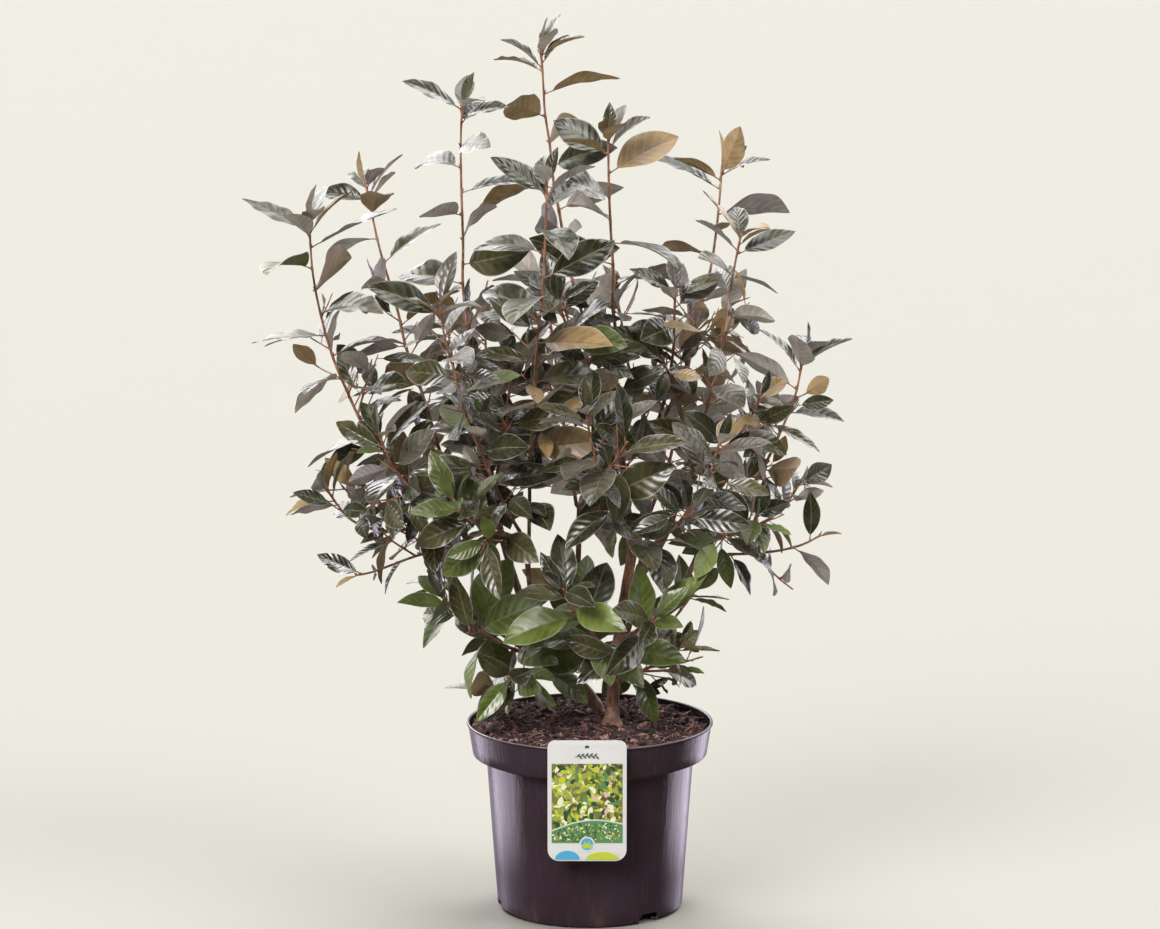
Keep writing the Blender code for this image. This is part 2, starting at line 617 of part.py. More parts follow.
def evaluated_mesh(obj):
    """The object's mesh with its modifiers applied, its cap corners welded."""
    bpy.context.view_layer.update()
    seen = obj.evaluated_get(bpy.context.evaluated_depsgraph_get())
    mesh = bpy.data.meshes.new_from_object(seen)
    work = bmesh.new()
    work.from_mesh(mesh)
    bmesh.ops.remove_doubles(work, verts=work.verts, dist=WELD)
    bmesh.ops.recalc_face_normals(work, faces=work.faces)
    work.to_mesh(mesh)
    work.free()
    return mesh


def tube_mesh(name, path, radii, group, profile=None):
    """A tapering tube: round by its bevel, or with a profile curve's section."""
    curve = bpy.data.curves.new(name, "CURVE")
    curve.dimensions = "3D"
    curve.use_fill_caps = True
    if profile:
        curve.bevel_mode = "OBJECT"
        curve.bevel_object = profile
    else:
        curve.bevel_depth = 1.0
        curve.bevel_resolution = 1
    spline = curve.splines.new("POLY")
    spline.points.add(len(path) - 1)
    for point, place, radius in zip(spline.points, path, radii):
        point.co = (*place, 1)
        point.radius = radius
    holder = bpy.data.objects.new(name + "_curve", curve)
    group.objects.link(holder)
    mesh = evaluated_mesh(holder)
    bpy.data.objects.remove(holder, do_unlink=True)
    mesh.name = name
    return mesh


def tube(name, path, radii, group, look, profile=None):
    return mesh_object(name, tube_mesh(name, path, radii, group, profile), group, look)


def mesh_tree(mesh):
    corners = [v.co.copy() for v in mesh.vertices]
    return BVHTree.FromPolygons(corners, [tuple(face.vertices) for face in mesh.polygons])


def least_distance(mesh, other):
    """Least distance between two surfaces, read along their edges, and 0 where they cross."""
    trees = mesh_tree(mesh), mesh_tree(other)
    if trees[0].overlap(trees[1]):
        return 0.0
    least = SEAT_SEARCH
    for side, tree in ((mesh, trees[1]), (other, trees[0])):
        for edge in side.edges:
            a, b = (side.vertices[k].co for k in edge.vertices)
            for part in range(EDGE_PARTS + 1):
                place, _, _, distance = tree.find_nearest(a.lerp(b, part / EDGE_PARTS), least)
                if place is not None:
                    least = min(least, distance)
    return least


def seat_feet(limbs, masses, group, section):
    """Draw the foot of every shoot in to its limb until it is the gap clear of it and its neighbours."""
    solid = {name: tube_mesh(name, *limb, group) for name, limb in limbs.items()}
    stubs = {}
    for shoot in SHOOTS:
        path, radii = masses[shoot.name][0][0]
        knee = path[0] + (path[1] - path[0]).normalized() * KNEE
        stubs[shoot.name] = [path[0], knee, path[1]], [radii[0], radii[0], radii[1]]
        solid[shoot.name] = tube_mesh(shoot.name, *stubs[shoot.name], group, section)
    for shoot in SHOOTS:
        point, direction, _ = path_at(*limbs[shoot.limb], shoot.at)
        target = point - direction * (SEAT_SINK if shoot.at == 1 else 0)
        (foot, knee, bend), radii = stubs[shoot.name]
        round_it = [solid[shoot.limb]]
        round_it += [solid[s.name] for s in SHOOTS if s.limb == shoot.limb and s is not shoot]
        clear, crossing = 0.0, 1.0
        for _ in range(SEAT_STEPS):
            middle = (clear + crossing) / 2
            trial = tube_mesh(shoot.name, [foot.lerp(target, middle), knee, bend], radii, group, section)
            if all(least_distance(trial, other) >= GAP for other in round_it):
                clear = middle
                solid[shoot.name] = trial
            else:
                crossing = middle
        path, radii = masses[shoot.name][0][0]
        masses[shoot.name][0][0] = [foot.lerp(target, clear), knee, *path[1:]], [radii[0], *radii]


def triangle_profile(group):
    """A three-sided section for the twigs, with its corners TRIANGLE out."""
    curve = bpy.data.curves.new("twig_section", "CURVE")
    curve.dimensions = "2D"
    spline = curve.splines.new("POLY")
    spline.points.add(2)
    for k, point in enumerate(spline.points):
        angle = math.tau * k / 3
        point.co = (TRIANGLE * math.cos(angle), TRIANGLE * math.sin(angle), 0, 1)
    spline.use_cyclic_u = True
    section = bpy.data.objects.new("twig_section", curve)
    section.hide_render = True
    section.display_type = "WIRE"
    group.objects.link(section)
    return section


def turned(name, profile, group, look):
    """A turned solid: the profile starts and ends on the axis and runs down its outer side."""
    mesh = bpy.data.meshes.new(name)
    edges = [(k, k + 1) for k in range(len(profile) - 1)]
    mesh.from_pydata([(r, 0, z) for r, z in profile], edges, [])
    obj = mesh_object(name, mesh, group, look)
    screw = obj.modifiers.new("Screw", "SCREW")
    screw.steps = screw.render_steps = POT_STEPS
    screw.use_merge_vertices = True
    screw.merge_threshold = GAP / 3
    return obj


def cut(obj, cutter):
    boolean = obj.modifiers.new("Cut " + cutter.name, "BOOLEAN")
    boolean.operation = "DIFFERENCE"
    boolean.solver = "EXACT"
    boolean.object = cutter


def box(name, size, place, turn, group):
    """A box as a cutter or a piece to be joined, its scale applied to its mesh."""
    mesh = bpy.data.meshes.new(name)
    work = bmesh.new()
    bmesh.ops.create_cube(work, size=1.0)
    bmesh.ops.scale(work, vec=size, verts=work.verts)
    work.to_mesh(mesh)
    work.free()
    obj = bpy.data.objects.new(name, mesh)
    obj.location = place
    obj.rotation_euler = (0, 0, turn)
    obj.hide_render = True
    obj.display_type = "WIRE"
    group.objects.link(obj)
    return obj


def body_radius(z):
    """Outer radius of the pot's body under the rim band."""
    return BODY_FOOT_R + (BODY_TOP_R - BODY_FOOT_R) * z / (POT_HEIGHT - BAND_HEIGHT)


def band_radius(z):
    """Outer radius of the rim band."""
    share = (z - POT_HEIGHT + BAND_HEIGHT) / BAND_HEIGHT
    return BAND_FOOT_R + (RIM_R - LIP_OUT - BAND_FOOT_R) * share


def make_pot(group, cutters, look):
    band_foot = POT_HEIGHT - BAND_HEIGHT
    lip = POT_HEIGHT - LIP_HEIGHT
    mouth_r = RIM_R - LIP_OUT - WALL
    inside = [(0, FLOOR), (body_radius(FLOOR) - WALL - INNER_ROUND, FLOOR),
              (body_radius(FLOOR * 2) - WALL, FLOOR * 2),
              (body_radius(band_foot) - WALL, band_foot + WALL), (BAND_FOOT_R - WALL, band_foot + WALL),
              (band_radius(lip) - WALL, lip), (mouth_r, POT_HEIGHT - EDGE_ROUND)]
    outside = [(mouth_r + EDGE_ROUND, POT_HEIGHT), (RIM_R - EDGE_ROUND, POT_HEIGHT),
               (RIM_R, POT_HEIGHT - EDGE_ROUND), (RIM_R, lip + EDGE_ROUND), (band_radius(lip), lip),
               (BAND_FOOT_R, band_foot + EDGE_ROUND), (BAND_FOOT_R - EDGE_ROUND, band_foot),
               (body_radius(band_foot), band_foot), (body_radius(FOOT_ROUND), FOOT_ROUND),
               (body_radius(0) - FOOT_ROUND, 0), (0, 0)]
    pot = turned("pot", inside + outside, group, look)
    for k in range(NOTCH_COUNT):
        turn = math.radians(NOTCH_FIRST_DEG + 360 / NOTCH_COUNT * k)
        reach = BODY_FOOT_R + NOTCH_PAST - NOTCH_DEPTH / 2
        size = (NOTCH_DEPTH, NOTCH_WIDTH, NOTCH_HEIGHT * 2)
        place = (reach * math.cos(turn), reach * math.sin(turn), 0)
        cut(pot, box("notch_%d" % k, size, place, turn, cutters))
    return pot


def make_soil(group, look):
    band_foot = POT_HEIGHT - BAND_HEIGHT
    wall = WALL + GAP
    edge = band_radius(SOIL_EDGE_Z) - wall
    shelf = band_foot + WALL + GAP
    shoulder = ((SOIL_FLAT_R + edge) / 2, (SOIL_Z * 2 + SOIL_EDGE_Z) / 3)
    profile = [(0, SOIL_Z), (SOIL_FLAT_R, SOIL_Z), shoulder,
               (edge - SOIL_ROUND, SOIL_EDGE_Z + SOIL_ROUND), (edge - GAP, SOIL_EDGE_Z - SOIL_ROUND),
               (BAND_FOOT_R - wall, shelf), (body_radius(band_foot) - wall, shelf),
               (body_radius(SOIL_TOE_Z) - wall, SOIL_TOE_Z), (SOIL_TOE_R, SOIL_TOE_Z - SOIL_TOE_FALL),
               (SOIL_TOE_R, FLOOR + GAP), (0, FLOOR + GAP)]
    return turned("compost", profile, group, look)


def rounded_outline(width, height, top, foot):
    """Corners of a card outline, clockwise from the top left, its four corners as arcs."""
    points = []
    half = width / 2
    corners = ((-half + top, -top, top, 180), (half - top, -top, top, 90),
               (half - foot, -height + foot, foot, 0), (-half + foot, -height + foot, foot, -90))
    for x, y, radius, start in corners:
        for k in range(CORNER_STEPS + 1):
            angle = math.radians(start - 90 * k / CORNER_STEPS)
            points.append((x + radius * math.cos(angle), y + radius * math.sin(angle)))
    return points


def make_label(group, cutters, look):
    """The card with its hole, and behind it a short hook over the rim, joined to it."""
    curve = bpy.data.curves.new("label", "CURVE")
    curve.dimensions = "2D"
    curve.fill_mode = "BOTH"
    curve.extrude = CARD_THICK / 2
    turns = [math.tau * k / HOLE_STEPS for k in range(HOLE_STEPS)]
    hole = [(CARD_HOLE_R * math.cos(a), CARD_HOLE_R * math.sin(a) - CARD_HOLE_DROP) for a in turns]
    for outline in (rounded_outline(CARD_WIDTH, CARD_HEIGHT, CARD_TOP_CORNER, CARD_FOOT_CORNER), hole):
        spline = curve.splines.new("POLY")
        spline.points.add(len(outline) - 1)
        for point, (x, y) in zip(spline.points, outline):
            point.co = (x, y, 0, 1)
        spline.use_cyclic_u = True
    holder = bpy.data.objects.new("label_curve", curve)
    group.objects.link(holder)
    mesh = evaluated_mesh(holder)
    bpy.data.objects.remove(holder, do_unlink=True)
    label = mesh_object("label", mesh, group, look)
    card_y = -RIM_R - GAP - CARD_THICK / 2
    label.matrix_world = (Matrix.Translation((CARD_X, card_y, CARD_TOP_Z))
                          @ Matrix.Rotation(math.radians(90), 4, "X"))
    bridge_z = POT_HEIGHT + GAP + HOOK_THICK / 2
    inside_r = (band_radius(bridge_z - HOOK_DROP) - WALL) * math.cos(math.pi / POT_STEPS) - GAP
    drop_y = -math.sqrt(inside_r ** 2 - (HOOK_WIDTH / 2 - CARD_X) ** 2) + HOOK_THICK / 2
    inner_y = drop_y + HOOK_THICK / 2
    bridge = (HOOK_WIDTH, inner_y - card_y, HOOK_THICK)
    bridge_box = box("hook_bridge", bridge, (CARD_X, (inner_y + card_y) / 2, bridge_z), 0, cutters)
    drop_box = box("hook_drop", (HOOK_WIDTH - HOOK_STEP, HOOK_THICK, HOOK_DROP),
                   (CARD_X, drop_y, bridge_z - HOOK_DROP / 2), 0, cutters)
    for piece in (bridge_box, drop_box):
        boolean = label.modifiers.new("Join " + piece.name, "BOOLEAN")
        boolean.operation = "UNION"
        boolean.solver = "EXACT"
        boolean.object = piece
    return label


def make_limb(name, limb, group, look):
    path, radii = limb
    obj = tube(name, path, radii, group, look)
    obj.data.shade_smooth()
    return obj


def islands(work):
    """The groups of faces of a bmesh that hang together by their edges, smallest first."""
    seen, groups = set(), []
    for start in work.faces:
        if start in seen:
            continue
        seen.add(start)
        group, queue = [], [start]
        while queue:
            face = queue.pop()
            group.append(face)
            for edge in face.edges:
                for other in edge.link_faces:
                    if other not in seen:
                        seen.add(other)
                        queue.append(other)
        groups.append(group)
    return sorted(groups, key=lambda faces: sum(face.calc_area() for face in faces))


def is_whole(mesh):
    """Whether a mesh is one closed surface."""
    work = bmesh.new()
    work.from_mesh(mesh)
    whole = len(islands(work)) == 1 and all(len(edge.link_faces) == 2 for edge in work.edges)
    work.free()
    return whole


def drop_scraps(mesh):
    """Keep a mesh's largest surface, without loose scraps and sealed hollows."""
    work = bmesh.new()
    work.from_mesh(mesh)
    loose = [face for group in islands(work)[:-1] for face in group]
    bmesh.ops.delete(work, geom=loose, context="FACES")
    work.to_mesh(mesh)
    work.free()


def make_mass(name, mass, group, section, look):
    """One mass of foliage: its main stem joined with its twigs and leaves by one union."""
    twigs, leaves = mass
    stem = tube(name, *twigs[0], group, look, profile=section)
    parts = bpy.data.collections.new(name + "_parts")
    bpy.context.scene.collection.children.link(parts)
    for k, (path, radii) in enumerate(twigs[1:]):
        tube("%s_twig_%d" % (name, k), path, radii, parts, look, profile=section)
    for k, leaf in enumerate(leaves):
        mesh_object("%s_leaf_%d" % (name, k), body_mesh("leaf", leaf_body(leaf)), parts, look)
    union = stem.modifiers.new("Join leaves", "BOOLEAN")
    union.operation = "UNION"
    union.operand_type = "COLLECTION"
    union.collection = parts
    for solver in ("EXACT", "MANIFOLD"):
        union.solver = solver
        mesh = evaluated_mesh(stem)
        if is_whole(mesh):
            break
    drop_scraps(mesh)
    stem.modifiers.clear()
    stem.data = mesh
    stem.data.materials.clear()
    stem.data.materials.append(look)
    for obj in list(parts.objects):
        bpy.data.objects.remove(obj, do_unlink=True)
    bpy.data.collections.remove(parts)
    return stem


def build():
    clear_scene()
    group = collection("potted_elaeagnus")
    cutters = collection("cutters")
    pot_look = material("pot_plastic", (0.045, 0.035, 0.045), 0.38)
    soil_look = material("compost", (0.060, 0.030, 0.024), 0.95)
    card_look = material("label_card", (0.86, 0.86, 0.84), 0.35)
    bark_look = material("bark", (0.210, 0.110, 0.070), 0.80)
    leaf_look = material("leaf", (0.100, 0.150, 0.060), 0.45)
    make_pot(group, cutters, pot_look)
    make_soil(group, soil_look)
    make_label(group, cutters, card_look)
    limbs, masses = grow()
    section = triangle_profile(cutters)
    seat_feet(limbs, masses, group, section)
    for name, limb in limbs.items():
        make_limb(name, limb, group, bark_look)
    for name, mass in masses.items():
        make_mass(name, mass, group, section, leaf_look)


build()
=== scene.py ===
"""Looks of the potted elaeagnus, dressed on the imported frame.

Metres, +Z up, front towards -Y. The limbs, shoots and leaves grow by the rule of the part's source,
carried here to finer twigs, stalks, buds and veined leaves.
"""
import random
from collections import namedtuple
from math import atan2, cos, dist, exp, hypot, pi, radians, sin, sqrt, tau

import bmesh
import bpy
import numpy as np
from mathutils import Matrix, Vector, noise
from mathutils.bvhtree import BVHTree


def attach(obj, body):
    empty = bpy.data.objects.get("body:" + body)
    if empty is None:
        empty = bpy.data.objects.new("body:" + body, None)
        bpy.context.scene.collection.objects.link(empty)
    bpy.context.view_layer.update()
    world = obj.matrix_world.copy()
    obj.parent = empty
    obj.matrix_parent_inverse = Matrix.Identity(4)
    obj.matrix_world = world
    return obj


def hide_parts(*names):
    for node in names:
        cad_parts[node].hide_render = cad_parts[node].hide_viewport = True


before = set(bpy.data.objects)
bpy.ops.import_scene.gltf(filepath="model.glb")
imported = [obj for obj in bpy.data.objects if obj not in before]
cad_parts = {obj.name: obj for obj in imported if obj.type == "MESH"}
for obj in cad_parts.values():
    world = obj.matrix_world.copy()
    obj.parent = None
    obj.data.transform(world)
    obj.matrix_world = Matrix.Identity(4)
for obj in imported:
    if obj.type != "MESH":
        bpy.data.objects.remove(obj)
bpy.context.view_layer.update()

# Clearance between pieces that touch
GAP = 0.0003

# Pot, with its rim band, lip and drain notches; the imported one's wall has POT_STEPS sides
POT_HEIGHT, RIM_R = 0.215, 0.140
BAND_HEIGHT, BAND_FOOT_R = 0.037, 0.1335
BODY_TOP_R, BODY_FOOT_R = 0.1180, 0.1055
WALL, FLOOR, INNER_ROUND, POT_STEPS = 0.0020, 0.0025, 0.0020, 36
LIP_HEIGHT, LIP_OUT = 0.0030, 0.0012
NOTCH_DEPTH, NOTCH_WIDTH, NOTCH_HEIGHT = 0.022, 0.028, 0.0105
NOTCH_PAST, NOTCH_COUNT, NOTCH_FIRST_DEG = 0.004, 3, -50.4

# Compost in the pot: its top, its edge at the wall, and its toe drawn in over the drain notches
SOIL_Z, SOIL_EDGE_Z, SOIL_FLAT_R = 0.2145, 0.2065, 0.075
SOIL_TOE_R, SOIL_TOE_Z = 0.080, 0.016

# Label card hooked over the rim
CARD_WIDTH, CARD_HEIGHT, CARD_THICK = 0.088, 0.138, 0.0010
CARD_X, CARD_TOP_Z = -0.0033, 0.2258
CARD_TOP_CORNER, CARD_FOOT_CORNER = 0.008, 0.013
CARD_HOLE_R, CARD_HOLE_DROP, CARD_BEVEL = 0.0026, 0.008, 0.00012
HOOK_WIDTH, HOOK_THICK, HOOK_DROP, HOOK_BEND, HOOK_SLIM = 0.016, 0.0012, 0.0075, 0.0009, 0.8

# Limbs: two stems from the compost, then the boughs that grow from them. A row gives the name, what it
# grows on and at which share of that one's length (1 is its tip). Then come the tip, the bends of the
# lower and the upper part off the straight line, and the two radii.
Limb = namedtuple("Limb", "name host at tip low high r_foot r_tip")
# Shoots: each is a mass of foliage, one stem with its twigs and leaves. Its row ends with the length
# of its middle leaves, the number of side twigs, its seed, and its spray of leaf colours.
Shoot = namedtuple("Shoot", "name host at tip low high leaf twigs seed spray", defaults=(0, "mid"))


def table(kind, text, *readers):
    """Rows of text as named tuples; the readers make values of the cells after the points."""
    rows = []
    for line in text.strip().splitlines():
        name, host, at, *cells = line.split()
        points = [Vector([float(cell) for cell in cells[k:k + 3]]) for k in (0, 3, 6)]
        rest = [read(cell) for read, cell in zip(readers, cells[9:])]
        rows.append(kind(name, host, float(at), *points, *rest))
    return rows


STEM_FEET = {"stem_left": (0.007, 0.045), "stem_right": (0.025, -0.015)}
LIMBS = table(Limb, """
stem_left compost 0 -0.079 0.022 0.3 0.024 0.006 0.012 0.006 0.004 -0.014 0.0072 0.0058
stem_right compost 0 0.047 -0.018 0.41 -0.006 0 0.004 -0.002 0.004 0.006 0.0074 0.0056
bough_left stem_left 1 -0.15 -0.008 0.448 0.002 0 -0.006 0.004 0 -0.006 0.0048 0.0036
bough_middle stem_left 0.86 -0.11 0.012 0.478 -0.004 0.016 0.006 -0.01 0.008 0.004 0.004 0.0032
bough_front stem_left 0.7 -0.072 -0.07 0.44 -0.006 -0.018 -0.004 -0.004 -0.018 -0.012 0.0038 0.003
bough_back_left stem_left 0.78 -0.105 0.105 0.43 0.004 0.02 -0.006 -0.004 0.016 -0.01 0.0038 0.003
bough_back stem_left 0.52 -0.012 0.118 0.44 0.01 0.018 -0.01 0.006 0.018 -0.014 0.0038 0.003
bough_centre stem_right 1 0.024 -0.016 0.59 0.002 0.002 0.004 0.004 0.002 0.004 0.0046 0.0034
bough_right stem_right 0.84 0.106 -0.012 0.505 0.01 0 -0.006 0.01 0 -0.012 0.0038 0.003
bough_right_back stem_right 0.93 0.072 0.052 0.535 0.004 0.014 -0.004 0.004 0.01 -0.008 0.0036 0.0028
bough_right_low stem_right 0.5 0.128 0.01 0.425 0.014 0.006 -0.012 0.014 0.004 -0.016 0.0038 0.003
bough_back_right stem_right 0.38 0.07 0.104 0.43 0.006 0.022 -0.01 0.004 0.018 -0.014 0.0038 0.003
bough_front_right stem_right 0.62 0.058 -0.092 0.43 0.004 -0.018 -0.008 0.002 -0.018 -0.012 0.0036 0.0028
""", float, float)
SHOOTS = table(Shoot, """
shoot_top bough_centre 1 -0.055 0.055 0.972 -0.03 0.03 0 -0.02 0.02 0.02 0.094 0 27 tall
shoot_left_tall bough_middle 1 -0.141 -0.055 0.925 -0.018 -0.014 -0.01 -0.014 -0.01 0.01 0.094 0 27 tall
shoot_centre bough_centre 1 0.02 -0.06 0.89 0.006 -0.02 -0.01 -0.004 -0.01 0.01 0.094 0 2 tall
shoot_front_tall bough_front 1 -0.047 -0.14 0.85 -0.006 -0.02 -0.01 0.002 -0.012 0 0.099 0 43 tall
shoot_left_outer bough_left 1 -0.313 -0.02 0.79 -0.04 -0.006 -0.03 -0.044 0 -0.076 0.108 1 28 outer
shoot_left_inner bough_left 1 -0.255 0.125 0.812 -0.004 0.03 0 -0.014 0.012 0.004 0.094 0 43 outer
shoot_right_back bough_right_back 1 0.151 0.14 0.834 0.02 0.008 -0.02 0.022 0.004 0 0.094 1 22 tall
shoot_right bough_right 1 0.168 -0.028 0.778 0.014 -0.004 0 0.002 0 -0.02 0.094 0 20 tall
shoot_right_outer bough_right_low 1 0.241 0.03 0.632 0.016 0 -0.034 0.02 0 -0.03 0.097 1 15 outer
shoot_right_tip bough_right_low 1 0.238 -0.03 0.5 0.016 -0.008 -0.016 0.018 -0.004 -0.022 0.068 0 30 outer
shoot_left_low bough_left 1 -0.297 -0.036 0.492 -0.016 -0.01 -0.026 -0.016 -0.006 -0.05 0.085 2 20 outer
shoot_front_left bough_front 1 -0.164 -0.176 0.724 -0.01 -0.016 -0.02 -0.016 -0.006 -0.01 0.099 1 33
shoot_front_centre bough_front_right 1 -0.004 -0.165 0.6 -0.008 -0.016 -0.01 -0.01 -0.01 -0.01 0.099 1 43
shoot_front_right bough_front_right 1 0.142 -0.13 0.56 0.012 -0.012 -0.014 0.014 -0.006 -0.016 0.094 1 32
shoot_front_low bough_front 1 -0.15 -0.15 0.5 -0.01 -0.02 -0.006 -0.012 -0.01 -0.012 0.094 1 29 low
shoot_mid_left bough_left 1 -0.235 -0.075 0.56 -0.012 -0.014 -0.012 -0.014 -0.006 -0.02 0.094 1 38
shoot_mid_right bough_right 1 0.19 -0.06 0.6 0.012 -0.01 -0.012 0.014 -0.004 -0.014 0.082 1 28
shoot_right_front bough_right_low 1 0.185 -0.09 0.47 0.01 -0.016 -0.008 0.012 -0.008 -0.012 0.082 1 19 low
shoot_back_high bough_back 1 -0.05 0.185 0.7 0 0.022 -0.01 -0.004 0.014 -0.01 0.094 1 3
shoot_back_mid bough_back 1 0.015 0.225 0.54 0.004 0.022 -0.016 0.004 0.01 -0.024 0.094 1 41
shoot_back_left_high bough_back_left 1 -0.165 0.185 0.64 -0.01 0.016 -0.012 -0.012 0.01 -0.012 0.094 1 18
shoot_back_left_low bough_back_left 1 -0.215 0.13 0.49 -0.014 0.01 -0.012 -0.016 0.006 -0.02 0.094 0 36 low
shoot_back_right_high bough_back_right 1 0.12 0.19 0.64 0.01 0.018 -0.012 0.01 0.01 -0.012 0.094 1 2
shoot_back_right_low bough_back_right 1 0.185 0.15 0.48 0.014 0.012 -0.012 0.014 0.006 -0.02 0.07 1 38 low
shoot_low_left stem_left 0.92 -0.165 -0.06 0.372 -0.01 -0.016 -0.004 -0.012 -0.008 -0.006 0.094 1 43 low
shoot_low_back_left stem_left 0.88 -0.175 0.085 0.365 -0.012 0.012 0 -0.012 0.006 -0.008 0.082 1 42 low
shoot_foot_left stem_left 0.62 -0.092 -0.07 0.28 -0.006 -0.014 0.004 -0.01 -0.006 0.004 0.094 1 6 low
shoot_low_front stem_right 0.42 -0.03 -0.15 0.4 -0.006 -0.016 0 -0.008 -0.01 -0.008 0.094 1 8 low
shoot_low_front_right stem_right 0.46 0.07 -0.16 0.37 0.006 -0.016 0 0.006 -0.01 -0.01 0.094 1 40 low
shoot_foot_right stem_right 0.26 0.104 -0.05 0.314 0.01 -0.006 0.004 0.01 -0.004 0 0.07 1 4 low
shoot_low_back_right stem_right 0.3 0.122 0.08 0.35 0.012 0.012 0.004 0.012 0.008 0 0.07 1 36 low
shoot_low_back stem_left 0.3 -0.02 0.16 0.33 0 0.016 0.004 0 0.01 0 0.094 1 6 low
shoot_mid_front bough_middle 1 -0.085 -0.105 0.65 0 -0.026 -0.004 0 -0.014 -0.008 0.094 1 43
shoot_mid_centre bough_centre 1 -0.035 -0.11 0.715 -0.012 -0.016 -0.006 -0.006 -0.012 -0.008 0.094 1 33
shoot_mid_back bough_middle 1 -0.12 0.105 0.67 -0.004 0.02 -0.004 -0.004 0.012 -0.006 0.094 0 35
shoot_centre_right bough_right_back 1 0.095 -0.035 0.72 0.012 -0.016 -0.004 0.008 -0.008 -0.004 0.082 1 22
shoot_centre_back bough_right_back 1 0.03 0.13 0.69 -0.008 0.014 -0.006 -0.006 0.012 -0.006 0.082 1 31
""", float, int, int, str)
# Low side shoots that only the scene grows, each a part of the mass that it is named after
DROPS = table(Shoot, """
shoot_left_low bough_left 0.8 -0.262 -0.05 0.405 -0.014 -0.012 0.012 -0.016 -0.006 -0.01 0.066 2
shoot_right_tip bough_right_low 0.86 0.246 -0.06 0.452 0.012 -0.012 -0.004 0.014 -0.006 -0.014 0.066 1
shoot_foot_right stem_right 0.3 0.094 -0.07 0.292 0.006 -0.012 0.004 0.008 -0.008 0 0.066 0
""", float, int)

# Root flare of a stem: its rise, and how much wider the stem is at the compost and at that height
FLARE_RISE, FLARE_FOOT, FLARE_TOP = 0.006, 1.50, 1.22
STEM_STEPS, BOUGH_STEPS = 8, 6

# Growth rule of a shoot's stem, and the room that a three-sided twig takes as a share of its radius
SHOOT_FOOT_R, SHOOT_TIP_R = 0.0022, 0.0011
STEM_PIECE, STEM_WANDER = 0.040, 0.0014
TRIANGLE = 1.5

# Growth rules of side twigs: the source's, the scene's finer ones, and those on stems and boughs.
# bare is the share of the twig before its first leaf, and smallest the shortest leaf that is kept.
TwigRule = namedtuple("TwigRule", "spread lift sag steps r_foot r_tip tries bare smallest")
TWIG = TwigRule(radians(48), 0.12, 0.004, 3, 0.0013, 0.00088, 6, 0.34, 0)
FINE = TwigRule(radians(55), 0.15, 0.002, 3, 0.0009, 0.0006, 5, 0.35, 0.030)
SPUR = FINE._replace(steps=4, tries=6)
TWIG_LENGTH, TWIG_VARY = 0.062, 0.2
TWIG_LOW, TWIG_HIGH, TWIG_START = 0.25, 0.60, 0.3

# Growth rule of the leaves: the bare foot of a stem as a share of its length, the steps between
# leaves, their turn round the twig, spread from it, length and form (slimness, bend, fold, twist and
# roll). Within TIP_REACH of a tip they stand closer, steeper and shorter.
TIP_REACH, BARE_SHARE = 0.055, 0.10
NODE_LOW, NODE_HIGH, NODE_VARY = 0.025, 0.012, 0.15
TURN, TURN_VARY = radians(137.5), 0.16
SPREAD_LOW, SPREAD_HIGH, SPREAD_VARY = radians(68), radians(46), 0.12
LENGTH_RANGE, TIP_SHORTER, YOUNG_SLIM = (0.80, 1.16), 0.22, 0.84
LEAF_FORM = ((0.37, 0.49), (0.30, 0.95), (0.10, 0.38), 0.45, 0.50)
LIGHT_STEM, LIGHT_SKY, LIGHT_SIDE, LIGHT_FRONT = 0.40, 0.35, 0.55, 0.010
FORWARD, ASKEW = Vector((0, -1, 0.2)), Vector((0.3, 0.9, 0.2))
PETIOLE, LEAF_THICK, ROOT_SHARE = 0.12, 0.018, 0.36

# The last leaf of a twig goes straight on from its tip
TIP_LEAF, TIP_SPREAD, TIP_BACK, TIP_END = 0.45, 0.16, 0.003, 0.001
TIP_FORM, TIP_TWIST, TIP_ROLL = (0.36, 0.35, 0.30), 0.30, 0.30

# Clearance kept in the growth, the height that no leaf goes below, and what is tried in turn
# where a leaf has no room: degrees round the twig, and its length as a share
TEST_FAT, FLOOR_Z = 0.0010, 0.2230
TRIES = ((0, 1.0), (26, 1.0), (-26, 1.0), (52, 0.92), (-52, 0.92), (80, 0.85), (-80, 0.85), (110, 0.75))
TUFT_TRIES = [(turn, size) for turn in (0, 25, -25, 50, -50, 80, -80) for size in (1.0, 0.8)]

# Corners of a leaf's outline in the tests: where along it, and how far out beyond the true outline
OUTLINE_U, OUTLINE_WIDEN = (0.32, 0.66), 1.10
LEAF_FACES = [*((7, b, a) for a, b in zip((0, 2, 3, 4, 5, 6), (2, 3, 4, 5, 6, 0))),
              *((8, a, b) for a, b in zip((1, 2, 3, 4, 5, 6), (2, 3, 4, 5, 6, 1))), (1, 0, 2), (0, 1, 6)]

# Finer growth: the leaves are drawn in to their true size, as shares of the source's fuller leaves
TRUE_OLD, TRUE_YOUNG, TRUE_HIGH = 0.76, 0.92, 1.0
HIGH_FROM, HIGH_TO = 0.60, 0.74
TRUE_BROAD, LOW_BROAD, LOW_LONG = 1.08, 1.20, 1.12
LOW_TOP = 0.42
